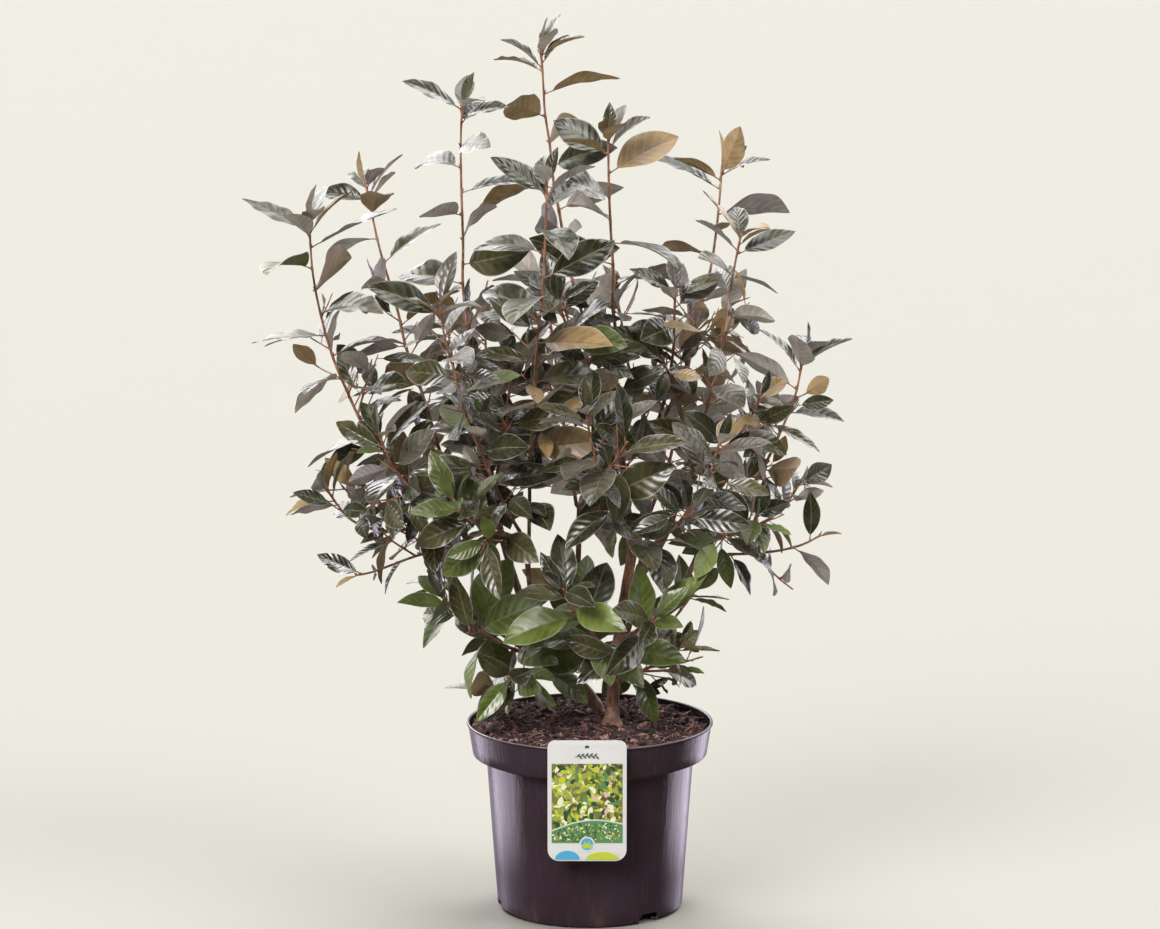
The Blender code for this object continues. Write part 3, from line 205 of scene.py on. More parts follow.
# Short side twigs and leaves follow where there is room: from and to as shares of the host's length,
# the step and the twig's length; below LOW_TOP most of a mass's are left out
FINE_SPOTS = (0.10, 0.85, 0.020, 0.030)
SPUR_SPOTS = (0.30, 0.97, 0.021, 0.050)
SPOT_RANGE = (0.7, 1.3)
FINE_SEED, FINE_TOP, LOW_BARE, SPUR_LOW = 500, 0.690, 0.86, 0.425
FINE_LEAF, SPUR_LEAF = 0.66, 0.070
FINE_FORM, FINE_SPREAD, FINE_YOUNG = ((0.40, 0.50), (0.3, 0.9), (0.1, 0.4), 0.4, 0.5), radians(60), 0.3
# Young leaves at a tip: share of the middle leaf's length, turn round the stem, and drop from the tip
TUFT = ((0.60, 0.2, 0.005), (0.68, 3.0, 0.009), (0.64, 1.5, 0.014), (0.70, 4.6, 0.020))
TUFT_FORM, TUFT_OPEN, TUFT_STALK = ((0.38, 0.46), (0.4, 0.8), (0.25, 0.55), 0.3, 0.3), 0.3, 0.16
DROP_NUDGE, DROP_TRIES, DROP_STEPS, DROP_THIN = 0.014, 14, 5, 0.8

Leaf = namedtuple("Leaf", "root along up length width bend fold twist core young")


def curve_points(foot, tip, low, high, count):
    """Points of a limb from foot to tip, on a cubic curve bent by low and high."""
    second, third = foot.lerp(tip, 1 / 3) + low, foot.lerp(tip, 2 / 3) + high
    path = []
    for k in range(count + 1):
        t = k / count
        s = 1 - t
        path.append(foot * s ** 3 + second * (3 * s * s * t) + third * (3 * s * t * t) + tip * t ** 3)
    return path


def path_length(path):
    return sum((b - a).length for a, b in zip(path, path[1:]))


def path_at(path, radii, share):
    """Point, direction and radius at a share of the path's length."""
    goal = share * path_length(path)
    for k in range(len(path) - 1):
        step = (path[k + 1] - path[k]).length
        if goal <= step or k == len(path) - 2:
            part = min(goal / step, 1.0)
            direction = (path[k + 1] - path[k]).normalized()
            return path[k].lerp(path[k + 1], part), direction, radii[k] + (radii[k + 1] - radii[k]) * part
        goal -= step


def across(vector, axis):
    """The part of a vector at right angles to the axis, at unit length."""
    return (vector - axis * vector.dot(axis)).normalized()


def foot_on_side(host, limb, radius):
    """Foot of a limb on the side of its host, clear of it by the gap."""
    point, direction, host_r = path_at(*host, limb.at)
    launch = ((limb.tip - point) / 3 + limb.low).normalized()
    return point + across(launch, direction) * (host_r + GAP + radius * abs(launch.dot(direction)))


def feet_on_tip(host, limbs, radius):
    """Feet by name of the limbs that share their host's tip, spread round it clear of each other."""
    point, direction = host[0][-1], (host[0][-1] - host[0][-2]).normalized()
    launches = [((limb.tip - point) / 3 + limb.low).normalized() for limb in limbs]
    count = len(limbs)
    first = across(launches[0], direction)
    other = direction.cross(first)
    angles = [atan2(launch.dot(other), launch.dot(first)) % tau for launch in launches]
    order = sorted(range(count), key=lambda k: angles[k])
    ring = 0 if count == 1 else (radius + GAP) / sin(pi / count)
    slot = sum(angles[k] - tau * place / count for place, k in enumerate(order)) / count
    feet = {}
    for place, k in enumerate(order):
        angle = slot + tau * place / count
        outward = first * cos(angle) + other * sin(angle)
        lift = GAP + radius * sqrt(max(0.0, 1 - launches[k].dot(direction) ** 2))
        feet[limbs[k].name] = point + direction * lift + outward * ring
    return feet


def taper(r_foot, r_tip, count):
    return [r_foot + (r_tip - r_foot) * k / count for k in range(count + 1)]


def grow_limbs():
    """The stems and boughs as {name: (path, radii)}."""
    limbs = {}
    for limb in LIMBS:
        stem = limb.host == "compost"
        if stem:
            foot = Vector((*STEM_FEET[limb.name], SOIL_Z + GAP))
        elif limb.at == 1:
            foot = feet_on_tip(limbs[limb.host], [limb], limb.r_foot)[limb.name]
        else:
            foot = foot_on_side(limbs[limb.host], limb, limb.r_foot)
        path = curve_points(foot, limb.tip, limb.low, limb.high, STEM_STEPS if stem else BOUGH_STEPS)
        if stem:
            path.insert(1, foot + Vector((0, 0, FLARE_RISE)))
        radii = taper(limb.r_foot, limb.r_tip, len(path) - 1)
        if stem:
            radii[0] *= FLARE_FOOT
            radii[1] *= FLARE_TOP
        limbs[limb.name] = (path, radii)
    return limbs


def shoot_feet(limbs):
    """Foot of every shoot, on its bough's tip or on the side of a stem."""
    radius = SHOOT_FOOT_R * TRIANGLE
    feet = {shoot.name: foot_on_side(limbs[shoot.host], shoot, radius)
            for shoot in SHOOTS if shoot.at < 1}
    for name, host in limbs.items():
        on_tip = [shoot for shoot in SHOOTS if shoot.host == name and shoot.at == 1]
        if on_tip:
            feet.update(feet_on_tip(host, on_tip, radius))
    return feet


def leaf_point(leaf, u, v, lift=0.0):
    """Point of a leaf: u from root to tip, v from edge to edge (-1 to 1), lift off its middle plane."""
    side = leaf.along.cross(leaf.up)
    angle, turn = leaf.bend * u, leaf.twist * u
    reach = leaf.length / leaf.bend
    middle = leaf.root + leaf.along * (sin(angle) * reach) - leaf.up * ((1 - cos(angle)) * reach)
    normal = leaf.up * cos(angle) + leaf.along * sin(angle)
    over = side * cos(turn) + normal * sin(turn)
    normal = normal * cos(turn) - side * sin(turn)
    shape = sin(pi * ((u - PETIOLE) / (1 - PETIOLE)) ** 0.9) ** 0.9 if PETIOLE < u < 1 else 0.0
    half = leaf.width / 2 * shape * v
    return middle + over * (half * cos(leaf.fold)) + normal * (abs(half) * sin(leaf.fold) + lift)


def leaf_body(leaf, fat):
    """Corners and faces of a leaf as a closed solid with a folded middle."""
    core, thick = leaf.up * (leaf.core + fat), leaf.length * LEAF_THICK / 2 + fat
    widen = OUTLINE_WIDEN * (1 + fat / leaf.width)
    first, second = OUTLINE_U
    spots = ((first, -widen), (second, -widen), (1, 0), (second, widen), (first, widen),
             (0.5, 0, thick), (0.5, 0, -thick))
    return [leaf.root + core, leaf.root - core, *(leaf_point(leaf, *spot) for spot in spots)], LEAF_FACES


def tube_rings(path, sides):
    """Unit vectors across a tube's rings, carried along its path without twist."""
    axis = across(ASKEW, (path[1] - path[0]).normalized())
    rings = []
    for k in range(len(path)):
        direction = (path[min(k + 1, len(path) - 1)] - path[max(k - 1, 0)]).normalized()
        axis = across(axis, direction)
        other = direction.cross(axis)
        rings.append([axis * cos(tau * j / sides) + other * sin(tau * j / sides) for j in range(sides)])
    return rings


def tube_body(path, radii, fat=0.0, sides=4, room=TRIANGLE):
    """Corners and faces of a plain tube along a path, for the clearance tests."""
    corners = [point + ray * (radius * room + fat)
               for point, radius, ring in zip(path, radii, tube_rings(path, sides)) for ray in ring]
    faces = []
    for k in range(len(path) - 1):
        for j in range(sides):
            a, b = k * sides + j, k * sides + (j + 1) % sides
            faces.append((a, b, b + sides, a + sides))
    return corners, faces


class Space:
    """What has grown so far, to keep new growth clear of it: first the stems and boughs."""

    def __init__(self, limbs):
        self.taken = []
        for path, radii in limbs.values():
            self.add(tube_body(path, radii, TEST_FAT, 6, 1))

    @staticmethod
    def box(corners):
        return [(min(c[i] for c in corners), max(c[i] for c in corners)) for i in range(3)]

    def add(self, body):
        self.taken.append((self.box(body[0]), BVHTree.FromPolygons(*body)))
        return len(self.taken) - 1

    def is_free(self, body, skip=None):
        box, tree = self.box(body[0]), None
        for place, (other_box, other) in enumerate(self.taken):
            if place == skip or any(a[0] > b[1] or a[1] < b[0] for a, b in zip(box, other_box)):
                continue
            tree = tree or BVHTree.FromPolygons(*body)
            if tree.overlap(other):
                return False
        return True


def draw_form(rng, slim, bend, fold, twist, roll):
    """A leaf's slimness, bend, fold, twist and roll, drawn from their ranges."""
    return (rng.uniform(*slim), rng.uniform(*bend), rng.uniform(*fold), rng.uniform(-twist, twist),
            rng.gauss(0, roll))


def place_leaf(space, host, spot, azimuth, spread, length, form, young, tuft=False):
    """A leaf at a spot of a twig, turned aside or shortened until it is clear, or None.

    It may touch its own host. In the tuft at a tip only its blade is kept clear, not its stalk.
    """
    point, direction, radius = spot
    slim, bend, fold, twist, roll = form
    sideways = across(FORWARD, direction)
    other = direction.cross(sideways)
    for extra, scale in TUFT_TRIES if tuft else TRIES:
        angle = azimuth + radians(extra)
        outward = sideways * cos(angle) + other * sin(angle)
        along = (direction * cos(spread) + outward * sin(spread)).normalized()
        if tuft:
            light = direction * (1 + LIGHT_STEM) - outward * TUFT_OPEN
        else:
            side_light = Vector((point.x, point.y - LIGHT_FRONT, 0)).normalized() * LIGHT_SIDE
            light = direction * LIGHT_STEM + Vector((0, 0, LIGHT_SKY)) + side_light
        up = Matrix.Rotation(roll, 3, along) @ across(light, along)
        size = length * scale
        leaf = Leaf(point, along, up, size, size * slim, bend, fold, twist, radius * ROOT_SHARE, young)
        corners, faces = leaf_body(leaf, TEST_FAT / 2 if tuft else TEST_FAT)
        start = point + along * (size * TUFT_STALK if tuft else radius * 2 + TEST_FAT)
        blade = [start + up * TEST_FAT, start - up * TEST_FAT, *corners[2:]]
        if tuft:
            corners = blade
        elif min(c.z for c in corners) < FLOOR_Z:
            continue
        if space.is_free((corners, faces), host) and (tuft or space.is_free((blade, faces))):
            space.add((corners, faces))
            return leaf
    return None


def leaves_on(space, host, path, radii, middle, rng, first):
    """Leaves of one twig, spaced and turned by the rule, from first along it to its tip."""
    leaves = []
    total = path_length(path)
    along, azimuth = first * total, rng.uniform(0, tau)
    while along < total - TIP_BACK - TIP_END:
        near_tip = max(0.0, 1 - (total - along) / TIP_REACH)
        spread = SPREAD_LOW + (SPREAD_HIGH - SPREAD_LOW) * near_tip + rng.gauss(0, SPREAD_VARY)
        length = middle * (1 - TIP_SHORTER * near_tip) * rng.uniform(*LENGTH_RANGE)
        slim, bend, *form = draw_form(rng, *LEAF_FORM)
        form = (slim * (1 - (1 - YOUNG_SLIM) * near_tip), bend * (1 - near_tip / 2), *form)
        spot = path_at(path, radii, along / total)
        leaves.append(place_leaf(space, host, spot, azimuth, spread, length, form, near_tip))
        azimuth += TURN + rng.gauss(0, TURN_VARY)
        step = NODE_LOW + (NODE_HIGH - NODE_LOW) * near_tip
        along += step * rng.uniform(1 - NODE_VARY, 1 + NODE_VARY)
    form = (*TIP_FORM, rng.uniform(-TIP_TWIST, TIP_TWIST), rng.gauss(0, TIP_ROLL))
    spot = path_at(path, radii, 1 - TIP_BACK / total)
    leaves.append(place_leaf(space, host, spot, azimuth, TIP_SPREAD, middle * TIP_LEAF, form, 1.0))
    return [leaf for leaf in leaves if leaf]


def grow_twig(space, host, spot, angle, length, rule, middle, rng):
    """A side twig turned round its stem until it has room, as lists of one twig and of its leaves."""
    point, direction, _ = spot
    for turn in range(rule.tries):
        sideways = across(FORWARD, direction)
        outward = Matrix.Rotation(angle + tau * turn / rule.tries, 3, direction) @ sideways
        heading = direction * cos(rule.spread) + outward * sin(rule.spread)
        end = point + heading * length + Vector((0, 0, length * rule.lift))
        path = curve_points(point, end, Vector(), Vector((0, 0, -rule.sag)), rule.steps)
        radii = taper(rule.r_foot, rule.r_tip, rule.steps)
        if rule is TWIG:
            tested = tube_body([point.lerp(path[1], TWIG_START), *path[1:]], radii, TEST_FAT)
        else:
            tested = tube_body(path[1:], radii[1:], TEST_FAT)
        if not space.is_free(tested, host):
            continue
        own = space.add(tube_body(path, radii))
        leaves = leaves_on(space, own, path, radii, middle, rng, rule.bare)
        leaves = [leaf for leaf in leaves if leaf.length > rule.smallest]
        if leaves or rule is TWIG:
            return [(path, radii)], leaves
    return [], []


def grow_shoot(space, shoot, stem, host):
    """One mass of foliage: its twigs as (path, radii), the main stem first, and its leaves."""
    rng = random.Random(shoot.seed)
    twigs, leaves = [stem], leaves_on(space, host, *stem, shoot.leaf, rng, BARE_SHARE)
    for _ in range(shoot.twigs):
        spot = path_at(*stem, rng.uniform(TWIG_LOW, TWIG_HIGH))
        angle, length = rng.uniform(0, tau), TWIG_LENGTH * rng.uniform(1 - TWIG_VARY, 1 + TWIG_VARY)
        more_twigs, more_leaves = grow_twig(space, host, spot, angle, length, TWIG, shoot.leaf, rng)
        twigs += more_twigs
        leaves += more_leaves
    return twigs, leaves


def grow(limbs):
    """The masses as the source grows them, as {name: (twigs, leaves)}."""
    feet = shoot_feet(limbs)
    space = Space(limbs)
    stems = []
    for place, shoot in enumerate(SHOOTS):
        rng = random.Random(place)
        foot = feet[shoot.name]
        count = max(4, round((shoot.tip - foot).length / STEM_PIECE))
        path = curve_points(foot, shoot.tip, shoot.low, shoot.high, count)
        for k in range(2, count):
            path[k] += Vector((rng.uniform(-1, 1), rng.uniform(-1, 1), 0)) * STEM_WANDER
        stems.append((path, taper(SHOOT_FOOT_R, SHOOT_TIP_R, count)))
    hosts = [space.add(tube_body(*stem)) for stem in stems]
    return {shoot.name: grow_shoot(space, shoot, stem, host)
            for shoot, stem, host in zip(SHOOTS, stems, hosts)}


def settle(limbs, masses):
    """The masses as {name: (twigs, hosts, leaves of their true size)}, and the space that is filled."""
    space = Space(limbs)
    drawn = {name: (twigs, [space.add(tube_body(*twig)) for twig in twigs], [])
             for name, (twigs, _) in masses.items()}
    for name, (_, leaves) in masses.items():
        for leaf in leaves:
            low = leaf.root.z < LOW_TOP
            share = TRUE_OLD + (TRUE_YOUNG - TRUE_OLD) * leaf.young
            high = min(1.0, max(0.0, (leaf.root.z - HIGH_FROM) / (HIGH_TO - HIGH_FROM)))
            share += (TRUE_HIGH - share) * high
            share *= LOW_LONG if low else 1
            broad = LOW_BROAD if low else TRUE_BROAD
            leaf = leaf._replace(length=leaf.length * share, width=leaf.width * share * broad)
            space.add(leaf_body(leaf, TEST_FAT))
            drawn[name][2].append(leaf)
    return drawn, space


def grow_drops(limbs, space):
    """The scene's own low side shoots as {mass: (twigs, leaves)}, from the seeds that leaf them best."""
    grown = {}
    for drop in DROPS:
        foot = path_at(*limbs[drop.host], drop.at)[0]
        kept = len(space.taken)

        def attempt(seed):
            del space.taken[kept:]
            rng = random.Random(seed)
            nudge = Vector([rng.uniform(-1, 1) for _ in range(3)]) * DROP_NUDGE
            path = curve_points(foot, drop.tip + nudge, drop.low, drop.high, DROP_STEPS)
            radii = taper(SHOOT_FOOT_R * DROP_THIN, SHOOT_TIP_R, DROP_STEPS)
            if not space.is_free(tube_body([path[0].lerp(path[1], 0.5), *path[1:]], radii, TEST_FAT)):
                return [], []
            host = space.add(tube_body(path, radii))
            return grow_shoot(space, drop._replace(seed=seed), (path, radii), host)

        def leaf_area(seed):
            return sum(leaf.length * leaf.width for leaf in attempt(seed)[1])
        grown[drop.name] = attempt(max(range(DROP_TRIES), key=leaf_area))
    return grown


def spots_along(path, radii, rng, first, last, step, length):
    """Spots for side twigs along a path, each with its angle round it and the twig's length."""
    total = path_length(path)
    along = first * total
    while along < last * total:
        spot = path_at(path, radii, along / total)
        along += step * rng.uniform(*SPOT_RANGE)
        yield spot, rng.uniform(0, tau), length * rng.uniform(*SPOT_RANGE)


def spur_growth(space, path, radii, place):
    """Short leafy side twigs on a stem or bough."""
    rng = random.Random(FINE_SEED * 2 + place)
    twigs, leaves = [], []
    for spot, angle, length in spots_along(path, radii, rng, *SPUR_SPOTS):
        if spot[0].z >= SPUR_LOW:
            more_twigs, more_leaves = grow_twig(space, None, spot, angle, length, SPUR, SPUR_LEAF, rng)
            twigs += more_twigs
            leaves += more_leaves
    return twigs, leaves


def fine_growth(space, place, twigs, hosts):
    """A mass's short side twigs, the leaves between them, and the tuft of young leaves at its tip."""
    rng = random.Random(FINE_SEED + place)
    middle = SHOOTS[place].leaf
    fine_twigs, fine_leaves, tuft = [], [], []
    for share, azimuth, below in TUFT:
        spot = path_at(*twigs[0], 1 - below / path_length(twigs[0][0]))
        length = middle * share * rng.uniform(0.85, 1.10)
        spread = radians(rng.uniform(28, 58))
        form = draw_form(rng, *TUFT_FORM)
        azimuth += rng.uniform(-0.4, 0.4)
        tuft.append(place_leaf(space, None, spot, azimuth, spread, length, form, 1.0, True))
    middle *= FINE_LEAF
    for (path, radii), host in zip(twigs, hosts):
        for spot, angle, length in spots_along(path, radii, rng, *FINE_SPOTS):
            z = spot[0].z
            if z > FINE_TOP or (z < LOW_TOP and rng.random() < LOW_BARE):
                continue
            more_twigs, more_leaves = grow_twig(space, None, spot, angle, length, FINE, middle, rng)
            if not more_leaves:
                form = draw_form(rng, *FINE_FORM)
                length = middle * rng.uniform(0.7, 1.1)
                leaf = place_leaf(space, host, spot, angle, FINE_SPREAD, length, form, FINE_YOUNG)
                more_leaves = [leaf]
            fine_twigs += more_twigs
            fine_leaves += more_leaves
    return fine_twigs, [leaf for leaf in fine_leaves if leaf], [leaf for leaf in tuft if leaf]


def body_radius(z):
    """Outer radius of the pot's body under the rim band."""
    return BODY_FOOT_R + (BODY_TOP_R - BODY_FOOT_R) * z / (POT_HEIGHT - BAND_HEIGHT)


def band_radius(z):
    """Outer radius of the rim band."""
    share = (z - POT_HEIGHT + BAND_HEIGHT) / BAND_HEIGHT
    return BAND_FOOT_R + (RIM_R - LIP_OUT - BAND_FOOT_R) * share


# Materials
class Look:
    """The shader of a material or of the world, its nodes made by short calls.

    A value is a number, a colour or another node's output.
    """

    def __init__(self, owner, shader="Principled BSDF", **inputs):
        owner.use_nodes = True
        self.owner, self.tree = owner, owner.node_tree
        self.shader = self.tree.nodes[shader]
        self.fill(self.shader, {key.replace("_", " "): value for key, value in inputs.items()})

    def fill(self, made, inputs):
        for key, value in inputs.items():
            if isinstance(value, bpy.types.NodeSocket):
                self.tree.links.new(value, made.inputs[key])
            else:
                made.inputs[key].default_value = value
        return made

    def node(self, kind, inputs, **settings):
        made = self.tree.nodes.new("ShaderNode" + kind)
        for key, value in settings.items():
            setattr(made, key, value)
        return self.fill(made, inputs).outputs

    def math(self, operation, *values):
        return self.node("Math", dict(enumerate(values)), operation=operation)[0]

    def vector(self, operation, inputs, output=0):
        return self.node("VectorMath", inputs, operation=operation)[output]

    def ramp(self, value, low, high, to_low=0.0, to_high=1.0):
        """Value from low to high spread over to_low to to_high, smoothly."""
        return self.node("MapRange", {"Value": value, "From Min": low, "From Max": high, "To Min": to_low,
                                      "To Max": to_high}, interpolation_type="SMOOTHSTEP")["Result"]

    def mix(self, share, first, second):
        """Mix of two colours, each a plain colour or another node's output."""
        first, second = (value if isinstance(value, bpy.types.NodeSocket) else (*value, 1)
                         for value in (first, second))
        return self.node("Mix", {0: share, 6: first, 7: second}, data_type="RGBA")[2]

    def place(self, squeeze=1):
        """The object's own coordinates, with Z squeezed to draw a pattern out upwards."""
        return self.node("Mapping", {"Vector": self.node("TexCoord", {})["Object"],
                                     "Scale": (1, 1, squeeze)})[0]

    def noise(self, scale, detail=4.0, rough=0.55, squeeze=1):
        return self.node("TexNoise", {"Vector": self.place(squeeze), "Scale": scale, "Detail": detail,
                                      "Roughness": rough})["Fac"]

    def finish(self, base, rough, height, distance, strength=1.0):
        """The material, with its colour, roughness and relief linked in."""
        bump = self.node("Bump", {"Height": height, "Distance": distance, "Strength": strength})
        self.fill(self.shader, {"Base Color": base, "Roughness": rough, "Normal": bump[0]})
        return self.owner


def start_look(name, roughness, **inputs):
    return Look(bpy.data.materials.new(name), Roughness=roughness, **inputs)


# Side veins of a leaf per length, their slant, and the pale colour painted along its edge as a highlight
VEINS, VEIN_SLANT, EDGE_HIGHLIGHT = 7, 0.22, (0.300, 0.275, 0.225)


def leaf_look(name, color, vein, roughness, mottle, **inputs):
    """A leaf's upper or under side: mottled, with fine scales, paler side veins and a painted highlight
    along its edge.
    """
    look = start_look(name, roughness, **inputs)
    mark = look.node("SeparateXYZ", {0: look.node("Attribute", {}, attribute_name="leaf")["Vector"]})
    out = look.math("ABSOLUTE", mark["Y"])
    slant = look.math("MULTIPLY_ADD", out, -VEIN_SLANT, mark["X"])
    wave = look.math("COSINE", look.math("MULTIPLY", slant, tau * VEINS))
    broad, fine = look.noise(45, 3), look.noise(900, 2)
    dark = [c * (1 - mottle) for c in color]
    light = [min(1.0, c * (1 + mottle) + 0.004) for c in color]
    base = look.mix(look.ramp(broad, 0.35, 0.68), dark, light)
    base = look.mix(look.ramp(wave, 0.55, 1.0, 0.0, 0.55), base, vein)
    base = look.mix(look.ramp(fine, 0.50, 0.72, 0.0, 0.35), base, vein)
    # painted highlight: a pale band along the leaf's edge, standing in for rim light
    base = look.mix(look.ramp(out, 0.90, 0.97, 0.0, 0.65), base, EDGE_HIGHLIGHT)
    return look.finish(base, look.ramp(broad, 0.3, 0.7, roughness - 0.06, roughness + 0.10),
                       look.math("MULTIPLY_ADD", fine, 0.5, wave), 0.0002, 0.5)


def bark_look(name, dark, mid, pale, roughness):
    """Bark: long fine streaks, paler cork spots and a fine grain."""
    look = start_look(name, roughness)
    streak, patch = look.noise(420, 5, squeeze=0.16), look.noise(70, 3)
    spots = look.node("TexVoronoi", {"Vector": look.place(0.6), "Scale": 330.0})["Distance"]
    base = look.mix(look.ramp(streak, 0.35, 0.65), dark, mid)
    base = look.mix(look.ramp(patch, 0.45, 0.70, 0.0, 0.75), base, pale)
    base = look.mix(look.ramp(spots, 0.05, 0.22, 0.55, 0.0), base, pale)
    rough = look.ramp(streak, 0.3, 0.7, roughness + 0.08, roughness - 0.08)
    return look.finish(base, rough, streak, 0.0006, 0.8)


def earth_look(name, dark, light, scale):
    look = start_look(name, 0.9)
    grain = look.noise(scale, 6, 0.65)
    return look.finish(look.mix(look.ramp(grain, 0.35, 0.68), dark, light),
                       look.ramp(grain, 0.3, 0.7, 0.95, 0.70), grain, 0.0012)


def card_look(name, color, roughness=0.32):
    """Coated card, with a faint grain in its colour, gloss and surface."""
    look = start_look(name, roughness, Coat_Weight=0.25)
    grain = look.noise(700, 3)
    rough = look.ramp(grain, 0.3, 0.7, roughness - 0.04, roughness + 0.06)
    return look.finish(look.mix(grain, [c * 0.94 for c in color], color), rough, grain, 0.00006, 0.5)


# Pot plastic: its colour from dark to light, a painted highlight along the lip's edge, streaks, scuffs and
# the foot's dust
POT_DARK, POT_LIGHT, POT_LIP_HIGHLIGHT = (0.029, 0.017, 0.022), (0.037, 0.022, 0.030), (0.210, 0.180, 0.190)
POT_STREAK, POT_SCUFF, POT_DUST = (0.055, 0.042, 0.052), (0.120, 0.100, 0.108), (0.100, 0.068, 0.050)


def plastic_look():
    """Nursery pot plastic: dark and half glossy, with drawn streaks, scuffs, a dusty foot and a painted
    highlight on its lip.
    """
    look = start_look("pot_plastic", 0.2)
    streak, drawn = look.noise(260, 3, squeeze=0.012), look.noise(620, 2, squeeze=0.006)
    grain, cloud, scuff = look.noise(1400, 2), look.noise(9), look.noise(38, 6, 0.7, 0.35)
    height = look.node("SeparateXYZ", {"Vector": look.place()})["Z"]
    dust = look.math("MULTIPLY", look.ramp(height, 0.045, 0.0), look.ramp(scuff, 0.48, 0.72, 0.0, 0.55))
    base = look.mix(look.ramp(cloud, 0.35, 0.65), POT_DARK, POT_LIGHT)
    base = look.mix(look.ramp(streak, 0.50, 0.80, 0.0, 0.30), base, POT_STREAK)
    base = look.mix(look.ramp(scuff, 0.66, 0.80, 0.0, 0.30), base, POT_SCUFF)
    base = look.mix(dust, base, POT_DUST)
    # painted highlight: a pale line along the lip's top edge, standing in for light caught there
    edge = look.ramp(height, POT_HEIGHT - 0.0010, POT_HEIGHT - 0.0004, 0.0, 0.6)
    base = look.mix(edge, base, POT_LIP_HIGHLIGHT)
    worn = look.ramp(height, 0.130, 0.050, 0.0, 0.05)
    rough = look.math("ADD", look.ramp(streak, 0.3, 0.7, 0.13, 0.21), worn)
    look.fill(look.shader, {"Specular IOR Level": look.ramp(height, 0.130, 0.040, 0.55, 0.06)})
    relief = look.math("MULTIPLY_ADD", grain, 0.10, look.math("MULTIPLY_ADD", drawn, 0.7, streak))
    return look.finish(base, rough, relief, 0.00034, 0.7)


# Meshes
def piece(name, mesh, slot, *nodes):
    """A visible piece that rides on the part's body and stands for the nodes."""
    obj = bpy.data.objects.new(name, mesh)
    bpy.context.scene.collection.objects.link(obj)
    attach(obj, "root")
    if nodes:
        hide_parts(*nodes)
    return obj


class Pile:
    """Corners and faces of many small bodies, gathered into one mesh."""

    def __init__(self):
        self.corners, self.faces, self.looks, self.marks, self.count = [], [], [], [], 0

    def add(self, corners, faces, looks, marks=None):
        """Faces is a list of index arrays, each row one face; looks is one slot or one each per array."""
        for group, slots in zip(faces, looks):
            self.faces.append(group + self.count)
            self.looks.append(np.broadcast_to(slots, len(group)))
        self.corners.append(np.array(corners, float))
        self.marks.append(np.zeros((len(corners), 3)) if marks is None else marks)
        self.count += len(corners)

    def piece(self, name, materials, slot, *nodes, smooth=True, rimmed=False):
        """The pile as one visible piece; rimmed keeps the edges of the leaves in it sharp."""
        corners, marks = np.concatenate(self.corners), np.concatenate(self.marks)
        sizes = np.concatenate([np.full(len(f), f.shape[1]) for f in self.faces])
        loops = np.concatenate([f.ravel() for f in self.faces])
        starts = np.concatenate([[0], np.cumsum(sizes)[:-1]])
        mesh = bpy.data.meshes.new(name)
        mesh.vertices.add(len(corners))
        mesh.vertices.foreach_set("co", corners.ravel())
        mesh.loops.add(len(loops))
        mesh.loops.foreach_set("vertex_index", loops.astype(np.int32))
        mesh.polygons.add(len(sizes))
        mesh.polygons.foreach_set("loop_start", starts.astype(np.int32))
        mesh.polygons.foreach_set("material_index", np.concatenate(self.looks).astype(np.int32))
        mesh.update(calc_edges=True)
        mesh.validate()
        layer = mesh.attributes.new("leaf", "FLOAT_VECTOR", "POINT")
        layer.data.foreach_set("vector", marks.astype(np.float32).ravel())
        if smooth:
            mesh.shade_smooth()
        else:
            mesh.shade_flat()
        if rimmed:
            ends = np.zeros(len(mesh.edges) * 2, np.int32)
            mesh.edges.foreach_get("vertices", ends)
            on_rim = np.abs(marks[:, 1]) > 0.999
            mesh.edges.foreach_set("use_edge_sharp", on_rim[ends.reshape(-1, 2)].all(axis=1))
        for material in materials:
            mesh.materials.append(material)
        return piece(name, mesh, slot, *nodes)


def smooth_path(path, radii, step):
    """A limb's path and radii filled in along a smooth curve through its points."""
    points = [path[0] * 2 - path[1], *path, path[-1] * 2 - path[-2]]
    out, out_radii = [], []
    for k in range(len(path) - 1):
        a, b, c, d = points[k:k + 4]
        count = max(1, round((c - b).length / step))
        for j in range(count):
            t = j / count
            out.append((b * 2 + (c - a) * t + (a * 2 - b * 5 + c * 4 - d) * t ** 2
                        + (b * 3 - a - c * 3 + d) * t ** 3) / 2)
            out_radii.append(radii[k] + (radii[k + 1] - radii[k]) * t)
    return [*out, path[-1]], [*out_radii, radii[-1]]


def tube_faces(rows, sides):
    """Faces of a tube of rows rings closed by a point at each end: the points come last."""
    k, j = np.meshgrid(np.arange(rows - 1), np.arange(sides), indexing="ij")
    a, b = k * sides + j, k * sides + (j + 1) % sides
    walls = np.stack([a, b, b + sides, a + sides], axis=-1).reshape(-1, 4)
    turn, last = np.arange(sides), (rows - 1) * sides
    after = (turn + 1) % sides
    foot = np.full(sides, rows * sides)
    caps = np.concatenate([np.stack([after, turn, foot], axis=-1),
                           np.stack([last + turn, last + after, foot + 1], axis=-1)])
    return walls, caps


def add_tube(pile, path, radii, sides, slot, relief=None, round_tip=0.5, old=0.0):
    """A closed round tube, its foot's share of old wood in slot 0, with a relief on its radius."""
    corners = [point + ray * (radius * (relief(point, ray) if relief else 1.0))
               for point, radius, ring in zip(path, radii, tube_rings(path, sides)) for ray in ring]
    corners.append(path[0] - (path[1] - path[0]).normalized() * (radii[0] * 0.2))
    corners.append(path[-1] + (path[-1] - path[-2]).normalized() * (radii[-1] * round_tip))
    steps = len(path) - 1
    looks = np.array([0 if k / steps < old else slot for k in range(steps)]).repeat(sides)
    pile.add(corners, tube_faces(len(path), sides), (looks, int(looks[-1])))


